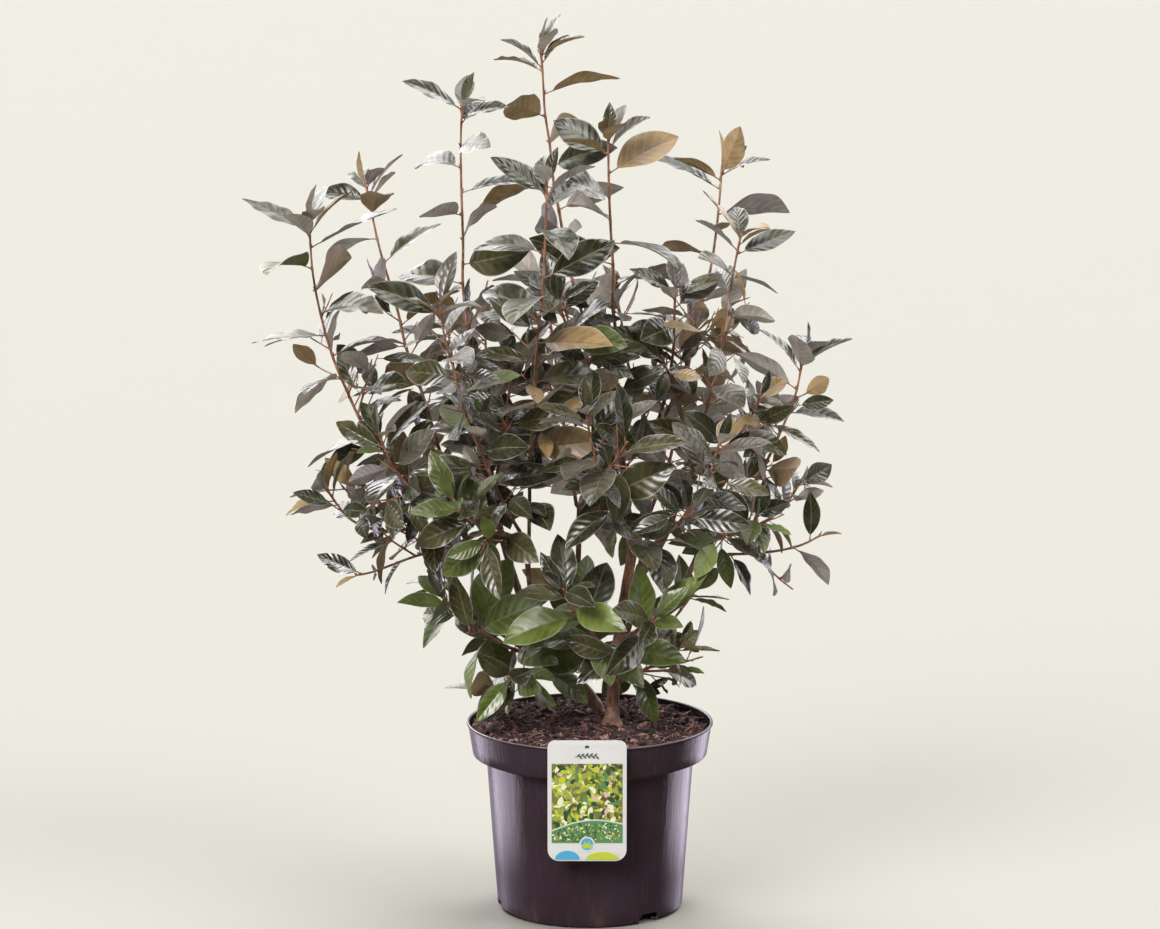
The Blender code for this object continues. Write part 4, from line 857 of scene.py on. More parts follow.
def turned(pile, rings, first_z, last_z):
    """Add rings of points round the Z axis, closed by a point on it at each end."""
    walls, caps = tube_faces(len(rings), len(rings[0]))
    corners = np.concatenate([np.array(rings, float).reshape(-1, 3), [[0, 0, first_z], [0, 0, last_z]]])
    pile.add(corners, (walls[:, ::-1], caps[:, ::-1]), (0, 0))


def crease(mesh, degrees):
    """Smooth shading, with edges sharper than the angle kept."""
    mesh.shade_smooth()
    mesh.set_sharp_from_angle(angle=radians(degrees))


def bmesh_into(work, mesh):
    work.to_mesh(mesh)
    work.free()
    return mesh


def made_mesh(name, obj):
    """The mesh that an object comes to with its modifiers."""
    bpy.context.view_layer.update()
    mesh = bpy.data.meshes.new_from_object(obj.evaluated_get(bpy.context.evaluated_depsgraph_get()))
    mesh.name = name
    return mesh


# Leaves: thickness, height of the side veins' ripple, wave of the edge, its curl back, and depth of the
# keel, the ranges of ripple and wave, and what fine leaves, keel and midrib take as shares. Stalks:
# radius, sides, how far along the leaf they reach, and their pieces. Then the buds.
BLADE_THICK, RIPPLE, EDGE_WAVE, RECURVE, KEEL_DIP = 0.00042, 0.0046, 0.016, 0.30, 0.006
RIPPLE_RANGE, EDGE_RANGE, EDGE_WAVES = (0.3, 1.5), (0.3, 1.0), (1.5, 3.2)
FINE_RIPPLE, FINE_BLADE, KEEL_WIDTH, RIB_THICKER, RIB_WIDTH = 0.6, 0.5, 0.07, 1.6, 0.10
FINE_STALK, LARGE_STALK, STALK_THINS = (0.00058, 4, 0.55, 6), (0.00092, 6, 0.72, 9), 0.78
BUD_LENGTHS, BUD_WIDTH = (0.004, 0.007), 0.0011


def leaf_grid(rows, across_at):
    """The row count, the places across, and for each sheet its triangles and which lie on the middle."""
    count = len(across_at)
    inner = count - 2
    top = np.arange((rows - 1) * count).reshape(rows - 1, count)
    base, tip = top.size, top.size + 1
    under = top.copy()
    under[:, 1:-1] = tip + 1 + np.arange((rows - 1) * inner).reshape(rows - 1, inner)
    strip = np.zeros((rows - 2, count - 1), bool)
    strip[:, count // 2 - 1] = True
    on_rib = np.concatenate([strip.ravel(), strip.ravel(), strip[0], strip[0]])
    sheets = []
    for sheet, flip in ((top, -1), (under, 1)):
        a, b, c, d = sheet[:-1, :-1], sheet[1:, :-1], sheet[1:, 1:], sheet[:-1, 1:]
        start = (np.full(count - 1, base), sheet[0, :-1], sheet[0, 1:])
        end = (sheet[-1, :-1], np.full(count - 1, tip), sheet[-1, 1:])
        faces = [np.stack(corners, axis=-1).reshape(-1, 3)
                 for corners in ((a, b, c), (a, c, d), start, end)]
        sheets.append((np.concatenate(faces)[:, ::flip], on_rib))
    return rows, np.array(across_at, float), sheets


# Large leaves and fine ones
GRIDS = (leaf_grid(22, (-1, -0.76, -0.50, -0.26, -0.045, 0.045, 0.26, 0.50, 0.76, 1)),
         leaf_grid(13, (-1, -0.56, -0.05, 0.05, 0.56, 1)))


def add_leaf(pile, leaf, rng, slots, fine):
    """A leaf as a closed thin blade with a keel, side veins and a waved edge, on the rule's surface."""
    rows, v, sheets = GRIDS[fine]
    t = np.linspace(0, 1, rows + 1)[:, None]
    u = PETIOLE + (1 - PETIOLE) * t
    along, up = np.array(leaf.along), np.array(leaf.up)
    side = np.cross(along, up)
    angle, turn, reach = leaf.bend * u, leaf.twist * u, leaf.length / leaf.bend
    middle = np.array(leaf.root) + np.sin(angle) * reach * along - (1 - np.cos(angle)) * reach * up
    normal = up * np.cos(angle) + along * np.sin(angle)
    over = side * np.cos(turn) + normal * np.sin(turn)
    normal = normal * np.cos(turn) - side * np.sin(turn)
    half = leaf.width / 2 * np.sin(pi * t ** 0.9) ** 0.9
    half[0] = half[-1] = 0
    out = np.abs(v)
    ripple = leaf.length * RIPPLE * rng.uniform(*RIPPLE_RANGE) * (FINE_RIPPLE if fine else 1.0)
    vein = np.cos(tau * VEINS * (t - VEIN_SLANT * out))
    shoulder = np.sin(pi * t) ** 0.6
    waves, left, right = rng.uniform(*EDGE_WAVES), rng.uniform(0, tau), rng.uniform(0, tau)
    edge = leaf.length * EDGE_WAVE * rng.uniform(*EDGE_RANGE)
    rise = (half * out * sin(leaf.fold) * (1 - RECURVE * out ** 2)
            + ripple * vein * np.sqrt(out) * (1 - out ** 4) * shoulder
            + edge * out ** 3 * np.sin(tau * waves * t + np.where(v < 0, left, right)) * shoulder
            - leaf.length * KEEL_DIP * np.exp(-(out / KEEL_WIDTH) ** 2) * shoulder)
    flat = half * v * cos(leaf.fold)
    thick = BLADE_THICK * (FINE_BLADE if fine else 1.0)
    thick = thick * (1 + RIB_THICKER * np.exp(-(out / RIB_WIDTH) ** 2)) * np.ones_like(half)
    middle, over, normal = (part[:, None, :] for part in (middle, over, normal))
    surface = middle + over * flat[:, :, None] + normal * rise[:, :, None]
    under = surface - normal * thick[:, :, None]
    marks = np.stack(np.broadcast_arrays(t, v, 0.0), axis=-1)
    corners = [surface[1:-1].reshape(-1, 3), surface[[0, -1], 0], under[1:-1, 1:-1].reshape(-1, 3)]
    marks = [marks[1:-1].reshape(-1, 3), [[0, 1, 0], [1, 1, 0]], marks[1:-1, 1:-1].reshape(-1, 3)]
    looks = [np.where(on_rib, rib, blade) for (_, on_rib), (blade, rib) in zip(sheets, slots)]
    pile.add(np.concatenate(corners), [faces for faces, _ in sheets], looks, np.concatenate(marks))


def add_stalk(pile, leaf, fine):
    """A leaf's stalk, running on as the keel under its blade."""
    radius, sides, reach, count = FINE_STALK if fine else LARGE_STALK
    path, radii = [], []
    for k in range(count + 1):
        u = reach * k / count
        angle = leaf.bend * u
        normal = leaf.up * cos(angle) + leaf.along * sin(angle)
        sink = min(1.0, max(0.0, (u - PETIOLE * 0.6) / (PETIOLE * 0.8)))
        path.append(leaf_point(leaf, u, 0) - normal * (leaf.length * 0.004 + BLADE_THICK) * sink)
        radii.append(radius * (1.0 - STALK_THINS * (k / count) ** 0.7))
    add_tube(pile, path, radii, sides, 1)


def add_bud(pile, point, direction, length, width):
    """A pointed bud, bulged below its middle."""
    path = [point + direction * (length * t) for t in (0.0, 0.25, 0.55, 0.85)]
    add_tube(pile, path, [width * r for r in (0.7, 1.0, 0.75, 0.25)], 6, 1, round_tip=1.5)


# Looks of the leaves' two sides: colour, side veins' colour, roughness, and how strongly mottled
UPPER_LOOKS = {
    "leaf_dark": ((0.021, 0.024, 0.008), (0.052, 0.053, 0.025), 0.25, 0.35),
    "leaf_olive": ((0.043, 0.042, 0.011), (0.090, 0.084, 0.032), 0.28, 0.32),
    "leaf_grey": ((0.064, 0.057, 0.039), (0.150, 0.138, 0.105), 0.30, 0.30),
    "leaf_green": ((0.056, 0.078, 0.009), (0.110, 0.138, 0.028), 0.34, 0.30),
    # painted light: a brighter green standing in for light shining through backlit leaves
    "leaf_bright": ((0.092, 0.130, 0.011), (0.165, 0.210, 0.040), 0.38, 0.28),
    "leaf_tan": ((0.210, 0.130, 0.040), (0.300, 0.200, 0.085), 0.42, 0.25)}
UNDER_LOOKS = {
    "under_silver": ((0.460, 0.410, 0.370), (0.620, 0.570, 0.530), 0.50, 0.22),
    "under_lilac": ((0.310, 0.265, 0.262), (0.480, 0.430, 0.430), 0.50, 0.22),
    "under_tan": ((0.340, 0.225, 0.100), (0.460, 0.335, 0.190), 0.52, 0.22),
    "under_green": ((0.100, 0.120, 0.028), (0.175, 0.195, 0.070), 0.48, 0.22)}
UPPER_SHEEN = {"Specular_IOR_Level": 0.90, "Specular_Tint": (1.0, 0.95, 0.97, 1), "Sheen_Weight": 0.02,
               "Sheen_Roughness": 0.35, "Sheen_Tint": (0.88, 0.84, 0.97, 1)}
UNDER_SHEEN = {"Sheen_Weight": 0.12, "Sheen_Roughness": 0.4, "Sheen_Tint": (0.90, 0.86, 0.97, 1)}
RIB_LOOK = ((0.120, 0.112, 0.050), (0.180, 0.165, 0.085), 0.38, 0.2)
BARKS = {
    "trunk_bark": ((0.120, 0.048, 0.028), (0.290, 0.130, 0.078), (0.420, 0.270, 0.190), 0.60),
    "bough_bark": ((0.075, 0.034, 0.022), (0.180, 0.082, 0.048), (0.290, 0.190, 0.140), 0.58),
    "shoot_bark": ((0.130, 0.050, 0.026), (0.320, 0.135, 0.068), (0.400, 0.240, 0.165), 0.46)}
# Weights of the upper and of the under looks in a spray, and what young leaves add to the last upper one
SPRAYS = {
    "tall": ((56, 24, 12, 0, 0, 8), (34, 22, 44, 0)),
    "outer": ((62, 25, 8, 2, 0, 3), (42, 30, 28, 0)),
    "mid": ((52, 28, 16, 4, 0, 0), (50, 30, 16, 4)),
    "low": ((22, 26, 3, 38, 11, 0), (22, 16, 6, 56))}
YOUNG, YOUNG_TAN = 0.8, 12
OWN_UNDER = {"leaf_bright": "under_green", "leaf_green": "under_green", "leaf_tan": "under_tan"}
SLOTS = [*UPPER_LOOKS, *UNDER_LOOKS, "rib"]
MASS_SEED, SPUR_SEED, SPUR_LOW_SPRAY_Z = 900, 1900, 0.45
# Twigs: step along them, how thick the fine ones and the others are drawn, and the share of a stem that
# is old wood. Leaves' knuckles: their height and reach, and the unevenness of the wood between them.
TWIG_STEP, FINE_THICK, TWIG_THICK, OLD_WOOD = 0.0045, 1.05, 1.02, 0.30
KNUCKLE, KNUCKLE_REACH, UNEVEN = 0.22, 0.0024, 0.05


def make_leaf_looks():
    """The leaves' materials in the order of SLOTS."""
    return [*(leaf_look(name, *row, **UPPER_SHEEN) for name, row in UPPER_LOOKS.items()),
            *(leaf_look(name, *row, **UNDER_SHEEN) for name, row in UNDER_LOOKS.items()),
            leaf_look("rib", *RIB_LOOK)]


def dress_leaf(blades, wood, leaf, fine, spray, rng):
    """One leaf with its stalk and, on the main twigs, the bud in its axil."""
    upper_weights, under_weights = SPRAYS[spray]
    if leaf.young > YOUNG and spray != "low":
        upper_weights = (*upper_weights[:-1], upper_weights[-1] + YOUNG_TAN)
    top = rng.choices([*UPPER_LOOKS], upper_weights)[0]
    below = rng.choices([*UNDER_LOOKS], under_weights)[0]
    above, rib, below = (SLOTS.index(key) for key in (top, "rib", OWN_UNDER.get(top, below)))
    add_leaf(blades, leaf, rng, ((above, rib), (below, below)), fine)
    add_stalk(wood, leaf, fine)
    if not fine:
        bud = (leaf.along + leaf.up * 0.9).normalized()
        add_bud(wood, leaf.root + bud * 0.0010, bud, rng.uniform(*BUD_LENGTHS), BUD_WIDTH)


def finish_mass(name, blades, wood, looks, barks, *nodes):
    blades.piece(name + "_leaves", looks, "leaf", *nodes, rimmed=True)
    wood.piece(name + "_twigs", barks, "bark", *nodes)


def dress_mass(limbs, place, twigs, leaves, fine_twigs, fine_leaves, looks, barks):
    """The leaves and the twigs of one mass, as two pieces that stand for its solid."""
    rng = random.Random(MASS_SEED + place)
    shoot = SHOOTS[place]
    blades, wood = Pile(), Pile()
    for group, fine in ((leaves, False), (fine_leaves, True)):
        for leaf in group:
            dress_leaf(blades, wood, leaf, fine, shoot.spray, rng)
    for k, (path, radii) in enumerate([*twigs, *fine_twigs]):
        fine = k >= len(twigs)
        path, radii = smooth_path(path, radii, TWIG_STEP)
        if k == 0:
            # the foot starts inside its host
            point, direction, _ = path_at(*limbs[shoot.host], shoot.at)
            path.insert(0, point - direction * 0.002)
            radii.insert(0, radii[0])
        roots = [] if fine else [leaf.root for leaf in leaves]

        def knuckle(point, ray):
            near = min([(point - root).length for root in roots], default=1.0)
            return 1.0 + KNUCKLE * exp(-(near / KNUCKLE_REACH) ** 2) + UNEVEN * noise.noise(point * 300)
        radii = [r * (FINE_THICK if fine else TWIG_THICK) for r in radii]
        add_tube(wood, path, radii, 6 if fine else 10, 1, knuckle, old=0.0 if k else OLD_WOOD)
    finish_mass(shoot.name, blades, wood, looks, barks, shoot.name)


def dress_spurs(name, place, twigs, leaves, looks, barks):
    """The leafy spurs of a stem or bough, green low down, where some leaves are a brighter green painted
    as backlight.
    """
    rng = random.Random(SPUR_SEED + place)
    blades, wood = Pile(), Pile()
    for leaf in leaves:
        dress_leaf(blades, wood, leaf, True, "low" if leaf.root.z < SPUR_LOW_SPRAY_Z else "mid", rng)
    for path, radii in twigs:
        path, radii = smooth_path(path, radii, TWIG_STEP)
        add_tube(wood, path, [r * FINE_THICK for r in radii], 6, 1)
    finish_mass(name + "_spurs", blades, wood, looks, barks)


# Trunks and boughs: step along them, sides round them and depth of their bark
STEM_DRESS, BOUGH_DRESS = (0.0022, 30, 0.085), (0.0030, 20, 0.06)
# How far a stem runs into the compost, how much wider it is there, its spread and how high that
# reaches; how far a bough on a tip runs into it, and a bough's collar and the steps that it fades over
STEM_SUNK, STEM_BUTT, STEM_SPREAD, SPREAD_RISE = 0.006, 1.15, 0.10, 0.006
BOUGH_SUNK, COLLAR, COLLAR_STEPS = 0.003, 0.22, 2.2


def bark_relief(scale):
    def relief(point, ray):
        at = Vector((point.x + ray.x * 0.004, point.y + ray.y * 0.004, point.z * 0.28))
        knob = noise.noise(point * 55 + ray * 0.6)
        return 1.0 + scale * (0.55 * noise.noise(at * 620) + 0.35 * noise.noise(at * 1500) + 1.1 * knob)
    return relief


def dress_limbs(limbs, trunk, bough):
    for limb in LIMBS:
        path, radii = limbs[limb.name]
        stem = limb.host == "compost"
        step, sides, depth = STEM_DRESS if stem else BOUGH_DRESS
        path, radii = smooth_path(path, radii, step)
        if stem:
            # the foot spreads into the compost
            radii = [r * (1 + STEM_SPREAD * exp(-(point.z - path[0].z) / SPREAD_RISE))
                     for r, point in zip(radii, path)]
            path.insert(0, path[0] - Vector((0, 0, STEM_SUNK)))
            radii.insert(0, radii[0] * STEM_BUTT)
        else:
            # the foot starts inside its host, with a collar round it
            inside = path_at(*limbs[limb.host], limb.at)[0]
            ahead = (path[1] - path[0]).normalized()
            radii = [r * (1 + COLLAR * exp(-k / COLLAR_STEPS)) for k, r in enumerate(radii)]
            path.insert(0, path[0].lerp(inside, 0.7) if limb.at < 1 else path[0] - ahead * BOUGH_SUNK)
            radii.insert(0, radii[0])
        pile = Pile()
        add_tube(pile, path, radii, sides, 0, bark_relief(depth), round_tip=0.8)
        pile.piece(limb.name + "_bark", [trunk if stem else bough], "bark", limb.name)


# Pot
ROUND_STEPS, PROFILE_STEP = 180, 0.012
# How far the pot is out of round low down and in its band, and the depth and number of its fine ribs
WAVE_LOW, WAVE_HIGH, RIB_DEPTH, RIBS = 0.00045, 0.00035, 0.00012, 90


def filled(profile, step):
    """A profile with its long pieces cut into steps."""
    out = [profile[0]]
    for a, b in zip(profile, profile[1:]):
        count = max(1, round(dist(a, b) / step))
        out += [(a[0] + (b[0] - a[0]) * k / count, a[1] + (b[1] - a[1]) * k / count)
                for k in range(1, count + 1)]
    return out


def cut_out(obj, size, place, turn, bevel):
    """Cut a box with rounded edges out of a piece and keep the result as its mesh."""
    work = bmesh.new()
    bmesh.ops.create_cube(work, size=1.0)
    bmesh.ops.scale(work, vec=size, verts=work.verts)
    bmesh.ops.bevel(work, geom=work.edges[:], offset=bevel, segments=3, affect="EDGES")
    bmesh.ops.rotate(work, cent=(0, 0, 0), matrix=Matrix.Rotation(turn, 3, "Z"), verts=work.verts)
    bmesh.ops.translate(work, vec=place, verts=work.verts)
    cutter = bpy.data.objects.new("cutter", bmesh_into(work, bpy.data.meshes.new("cutter")))
    bpy.context.scene.collection.objects.link(cutter)
    boolean = obj.modifiers.new("Cut", "BOOLEAN")
    boolean.operation, boolean.solver, boolean.object = "DIFFERENCE", "EXACT", cutter
    result = made_mesh(obj.name, obj)
    obj.modifiers.clear()
    old, obj.data = obj.data, result
    bpy.data.objects.remove(cutter, do_unlink=True)
    bpy.data.meshes.remove(old)


def dress_pot():
    """The pot as one closed turned wall, its profile from the axis up the inside and down the outside."""
    foot, lip, mouth = POT_HEIGHT - BAND_HEIGHT, POT_HEIGHT - LIP_HEIGHT, RIM_R - LIP_OUT - WALL
    inside = [(body_radius(FLOOR) - WALL - INNER_ROUND, FLOOR),
              (body_radius(FLOOR * 2) - WALL, FLOOR * 2),
              (body_radius(foot) - WALL, foot + WALL), (BAND_FOOT_R - WALL, foot + WALL),
              (band_radius(lip) - WALL, lip), (mouth, POT_HEIGHT - 0.0008),
              (mouth + 0.0003, POT_HEIGHT - 0.0003)]
    outside = [(mouth + 0.0009, POT_HEIGHT), (RIM_R - 0.0012, POT_HEIGHT),
               (RIM_R - 0.0004, POT_HEIGHT - 0.0003), (RIM_R, POT_HEIGHT - 0.0011), (RIM_R, lip + 0.0008),
               (RIM_R - 0.0005, lip + 0.0002), (band_radius(lip) + 0.0001, lip - 0.0004),
               (BAND_FOOT_R + 0.0002, foot + 0.0018), (BAND_FOOT_R - 0.0002, foot + 0.0005),
               (BAND_FOOT_R - 0.0010, foot), (body_radius(foot) + 0.0012, foot),
               (body_radius(foot) + 0.0003, foot - 0.0006), (body_radius(0.004), 0.004),
               (body_radius(0.002) - 0.0004, 0.0018), (body_radius(0) - 0.0010, 0.0006),
               (body_radius(0) - 0.0022, 0), (0, 0)]
    profile = np.array([*inside, *filled(outside, PROFILE_STEP)[:-1]])
    radius, height = profile[:, :1], profile[:, 1:]
    turn = np.arange(ROUND_STEPS) * tau / ROUND_STEPS
    # a soft container: a little out of round, with flats in its band and fine ribs on its body
    low, high = np.clip(1 - height / 0.06, 0, 1), np.clip((height - foot) / BAND_HEIGHT, 0, 1)
    waves = WAVE_LOW * np.sin(3 * turn + 0.7) * low + WAVE_HIGH * np.sin(2 * turn + 1.9) * high
    ribs = RIB_DEPTH * np.sin(RIBS * turn) * np.clip(height / 0.02, 0, 1) * (high <= 0) * (radius > 0.08)
    radius = radius + (waves + ribs - 0.0004) * (radius > 0.08)
    rings = np.stack(np.broadcast_arrays(radius * np.cos(turn), radius * np.sin(turn), height), axis=-1)
    pile = Pile()
    turned(pile, rings, FLOOR, 0)
    obj = pile.piece("pot_shell", [plastic_look()], "pot_plastic", "pot")
    reach = BODY_FOOT_R + NOTCH_PAST - NOTCH_DEPTH / 2
    for k in range(NOTCH_COUNT):
        turn = radians(NOTCH_FIRST_DEG + 360 / NOTCH_COUNT * k)
        cut_out(obj, (NOTCH_DEPTH, NOTCH_WIDTH, NOTCH_HEIGHT * 2),
                (reach * cos(turn), reach * sin(turn), 0), turn, 0.003)
    crease(obj.data, 32)


# Compost: its looks, and for chips, crumbs and lumps their number, the ball they are made from, their
# shape (ranges of length, width and height as shares of the size), the weights of the looks, and how
# their size is drawn
EARTHS = {
    "compost_dark": ((0.018, 0.0070, 0.0066), (0.066, 0.026, 0.022), 240),
    "compost_mid": ((0.054, 0.020, 0.017), (0.155, 0.066, 0.053), 300),
    "compost_tan": ((0.200, 0.098, 0.078), (0.430, 0.250, 0.205), 420),
    "compost_black": ((0.010, 0.006, 0.006), (0.030, 0.017, 0.015), 300)}
SOIL_RINGS, SOIL_STEPS, SOIL_LUMPS = 60, 200, ((0.0034, 34), (0.0026, 90), (0.0012, 240))
CHIP_SEED, CHIP_TILT, CHIP_ROUGH, CHIP_RISE = 77, 0.5, 0.28, 0.45
FIBRES, FIBRE_POINTS, FIBRE_CURL = 520, 7, 55
FIBRE_LENGTHS, FIBRE_RADII, FIBRE_HUMPS = (0.006, 0.026), (0.00016, 0.00055), (0.0005, 0.0018)
CHIP_SHAPE, LUMP_SHAPE = ((0.9, 2.0), (0.35, 0.85), (0.2, 0.5)), ((0.9, 1.5), (0.6, 1.0), (0.45, 0.8))
CHIP_LOOKS, LUMP_LOOKS = (38, 30, 17, 15), (40, 22, 2, 36)
BITS = ((3600, 0, CHIP_SHAPE, CHIP_LOOKS, lambda rng: min(0.0058, 0.0015 + rng.expovariate(1 / 0.0011))),
        (1500, 0, CHIP_SHAPE, CHIP_LOOKS, lambda rng: rng.uniform(0.0006, 0.0014)),
        (260, 1, LUMP_SHAPE, LUMP_LOOKS, lambda rng: rng.uniform(0.0026, 0.0052)))


def soil_height(x, y):
    """Top of the compost: flat in the middle, falling to the wall, with lumps."""
    r = hypot(x, y)
    edge = band_radius(SOIL_EDGE_Z) - WALL
    fall = max(0.0, (r - SOIL_FLAT_R) / (edge - SOIL_FLAT_R))
    base = SOIL_Z - 0.0015 - (SOIL_Z - SOIL_EDGE_Z) * fall ** 1.3
    here = Vector((x, y, 0))
    # higher at the back left, as it is heaped in the pot
    heap = 0.0042 * max(0.0, (0.45 * y - x) / edge) * min(1.0, r / 0.06)
    height = base + heap
    for lump, scale in SOIL_LUMPS:
        height += lump * noise.noise(here * scale)
    return height


def dress_compost():
    """The bed of compost, with the loose bits and fibres on it."""
    looks = [earth_look(name, *row) for name, row in EARTHS.items()]
    edge = band_radius(SOIL_EDGE_Z) - WALL - 0.0012
    angles = [tau * j / SOIL_STEPS for j in range(SOIL_STEPS)]
    rings = []
    for k in range(1, SOIL_RINGS + 1):
        r = edge * k / SOIL_RINGS
        rings.append([(r * cos(a), r * sin(a), soil_height(r * cos(a), r * sin(a))) for a in angles])
    band_foot = POT_HEIGHT - BAND_HEIGHT + WALL + 0.001
    for r, z in ((edge, SOIL_EDGE_Z - 0.008), (BAND_FOOT_R - WALL - 0.001, band_foot),
                 (body_radius(0.17) - WALL - 0.001, 0.17),
                 (body_radius(SOIL_TOE_Z) - WALL - 0.001, SOIL_TOE_Z),
                 (SOIL_TOE_R, SOIL_TOE_Z - 0.003), (SOIL_TOE_R, FLOOR + 0.0005)):
        rings.append([(r * cos(a), r * sin(a), z) for a in angles])
    bed, chips, fibres = Pile(), Pile(), Pile()
    turned(bed, rings, soil_height(0, 0), FLOOR + 0.0005)
    bed.piece("compost_bed", looks, "compost", "compost")
    rng = random.Random(CHIP_SEED)
    balls = []
    for finer in (1, 2):
        ico = bmesh.new()
        bmesh.ops.create_icosphere(ico, subdivisions=finer, radius=1.0)
        balls.append((np.array([v.co[:] for v in ico.verts]),
                      np.array([[v.index for v in f.verts] for f in ico.faces])))
        ico.free()
    for count, kind, shape, weights, size_of in BITS:
        ball, ball_faces = balls[kind]
        for _ in range(count):
            r, angle = edge * sqrt(rng.random()), rng.uniform(0, tau)
            x, y = r * cos(angle), r * sin(angle)
            size = size_of(rng)
            stretch = [size * rng.uniform(*span) for span in shape]
            body = ball * (1 + np.array([[rng.uniform(-CHIP_ROUGH, CHIP_ROUGH)] for _ in ball])) * stretch
            spin = Matrix.Rotation(rng.uniform(0, tau), 3, "Z")
            for axis in "XY":
                spin = spin @ Matrix.Rotation(rng.gauss(0, CHIP_TILT), 3, axis)
            limit = edge - size * 1.4
            if r > limit:
                x, y = x * limit / r, y * limit / r
            z = soil_height(x, y) + size * rng.uniform(0.0, CHIP_RISE)
            slot = rng.choices(range(4), weights)[0]
            chips.add(body @ np.array(spin).T + (x, y, z), (ball_faces,), (slot,))
    chips.piece("compost_chips", looks, "compost", "compost", smooth=False)
    for _ in range(FIBRES):
        r, angle = (edge - 0.016) * sqrt(rng.random()), rng.uniform(0, tau)
        heading, curl = rng.uniform(0, tau), rng.gauss(0, FIBRE_CURL)
        length = rng.uniform(*FIBRE_LENGTHS)
        x, y = r * cos(angle), r * sin(angle)
        lift = rng.uniform(0.0, 0.0010)
        path, count = [], FIBRE_POINTS
        for j in range(count):
            if hypot(x, y) > edge - 0.002:
                break
            hump = sin(pi * j / (count - 1)) * rng.uniform(*FIBRE_HUMPS)
            path.append(Vector((x, y, soil_height(x, y) + 0.0004 + lift + hump)))
            heading += curl * length / count
            x, y = x + cos(heading) * length / count, y + sin(heading) * length / count
        if len(path) < 4:
            continue
        thick = rng.uniform(*FIBRE_RADII)
        radii = [thick * (0.55 + 0.45 * sin(pi * j / (len(path) - 1))) for j in range(len(path))]
        add_tube(fibres, path, radii, 5, rng.choices((1, 2), (35, 65))[0])
    fibres.piece("compost_fibres", looks, "compost", "compost")


# Card: its front, and the print's lowest rise off it and the rise from one shape to the next
CARD_FRONT = -RIM_R - GAP - CARD_THICK
PRINT_RISE, PRINT_STEP, PRINT_SEED = 0.00003, 0.0000015, 12
PANEL, HILL_Z, FOOT_Z = (-0.0395, 0.0395, -0.117, -0.0265), -0.100, -0.1362
PRINT_LEAVES, PRINT_SPECKS, BADGE_Z = 430, 330, -0.1185
SPRIG, SPRIG_Z, SPRIG_THICK = (-0.0135, 0.0125), -0.0185, 0.00022
CARD_WHITE = (0.590, 0.580, 0.562)
INKS = {"ink_lime": (0.430, 0.490, 0.030), "ink_green": (0.085, 0.230, 0.085),
        "ink_leaf": (0.290, 0.330, 0.060), "ink_pale": (0.690, 0.690, 0.440),
        "ink_rose": (0.600, 0.400, 0.330), "ink_blue": (0.065, 0.330, 0.520),
        "ink_deep": (0.030, 0.075, 0.020), "ink_moss": (0.150, 0.165, 0.045),
        "ink_brown": (0.120, 0.075, 0.040), "ink_grey": (0.090, 0.085, 0.080)}


def leaf_shape(x, z, length, width, angle, steps=7):
    """Outline of a printed leaf, pointed at both ends."""
    side = [(k / steps * length, sin(pi * (k / steps) ** 0.85) * width / 2) for k in range(steps + 1)]
    c, s = cos(angle), sin(angle)
    return [(x + a * c - b * s, z + a * s + b * c) for a, b in side + [(a, -b) for a, b in side[-2:0:-1]]]


def clip(outline, low_x, high_x, low_z, high_z):
    """An outline cut to a rectangle, or None where nothing is left."""
    for axis, limit, sign in ((0, low_x, 1), (0, high_x, -1), (1, low_z, 1), (1, high_z, -1)):
        out = []
        for a, b in zip(outline, outline[1:] + outline[:1]):
            da, db = (a[axis] - limit) * sign, (b[axis] - limit) * sign
            if da >= 0:
                out.append(a)
            if (da >= 0) != (db >= 0):
                t = da / (da - db)
                out.append((a[0] + (b[0] - a[0]) * t, a[1] + (b[1] - a[1]) * t))
        outline = out
        if len(outline) < 3:
            return None
    return outline


class Print:
    """The shapes printed on the card, given on it from its top middle, each a little over the last."""

    def __init__(self, inks):
        self.pile, self.names, self.level = Pile(), list(inks), 0

    def rows(self, outlines, step):
        """Each outline at its rise off the card, then each on the card."""
        self.level += step
        rise = PRINT_RISE + PRINT_STEP * self.level
        points = [(CARD_X + x, CARD_TOP_Z + z) for outline in outlines for x, z in outline]
        return [(x, y, z) for y in (CARD_FRONT - rise, CARD_FRONT) for x, z in points]

    def add(self, corners, faces, ink):
        self.pile.add(corners, faces, [self.names.index(ink)] * len(faces))

    def plate(self, ink, outline, step=1.0):
        """A thin closed plate with the outline."""
        corners = self.rows([outline], step)
        count = len(corners) // 2
        cx, cz = (sum(corner[axis] for corner in corners[:count]) / count for axis in (0, 2))
        corners += [(cx, corners[0][1], cz), (cx, CARD_FRONT, cz)]
        j = np.arange(count)
        n, front = (j + 1) % count, np.full(count, 2 * count)
        lids = np.concatenate([np.stack([j, n, front], axis=-1),
                               np.stack([n + count, j + count, front + 1], axis=-1)])
        self.add(corners, (np.stack([j, j + count, n + count, n], axis=-1), lids), ink)

    def ribbon(self, ink, xs, low, high):
        """A thin closed strip between two rows of heights."""
        count = len(xs)
        k = np.arange(count - 1)
        a, b, c, d = (k + count * row for row in range(4))
        faces = [np.stack(face, axis=-1) for face in ((a, a + 1, b + 1, b), (c, d, d + 1, c + 1),
                                                      (a, c, c + 1, a + 1), (b, b + 1, d + 1, d))]
        faces.append(np.array([[0, count, 3 * count, 2 * count],
                               [count - 1, 3 * count - 1, 4 * count - 1, 2 * count - 1]]))
        self.add(self.rows([zip(xs, low), zip(xs, high)], 1.0), faces, ink)


def hill(x):
    """Height of the green hill under the panel's leaves."""
    return HILL_Z + 0.008 * np.cos(x / PANEL[1] * pi * 0.5) + 0.004 * x / PANEL[1]


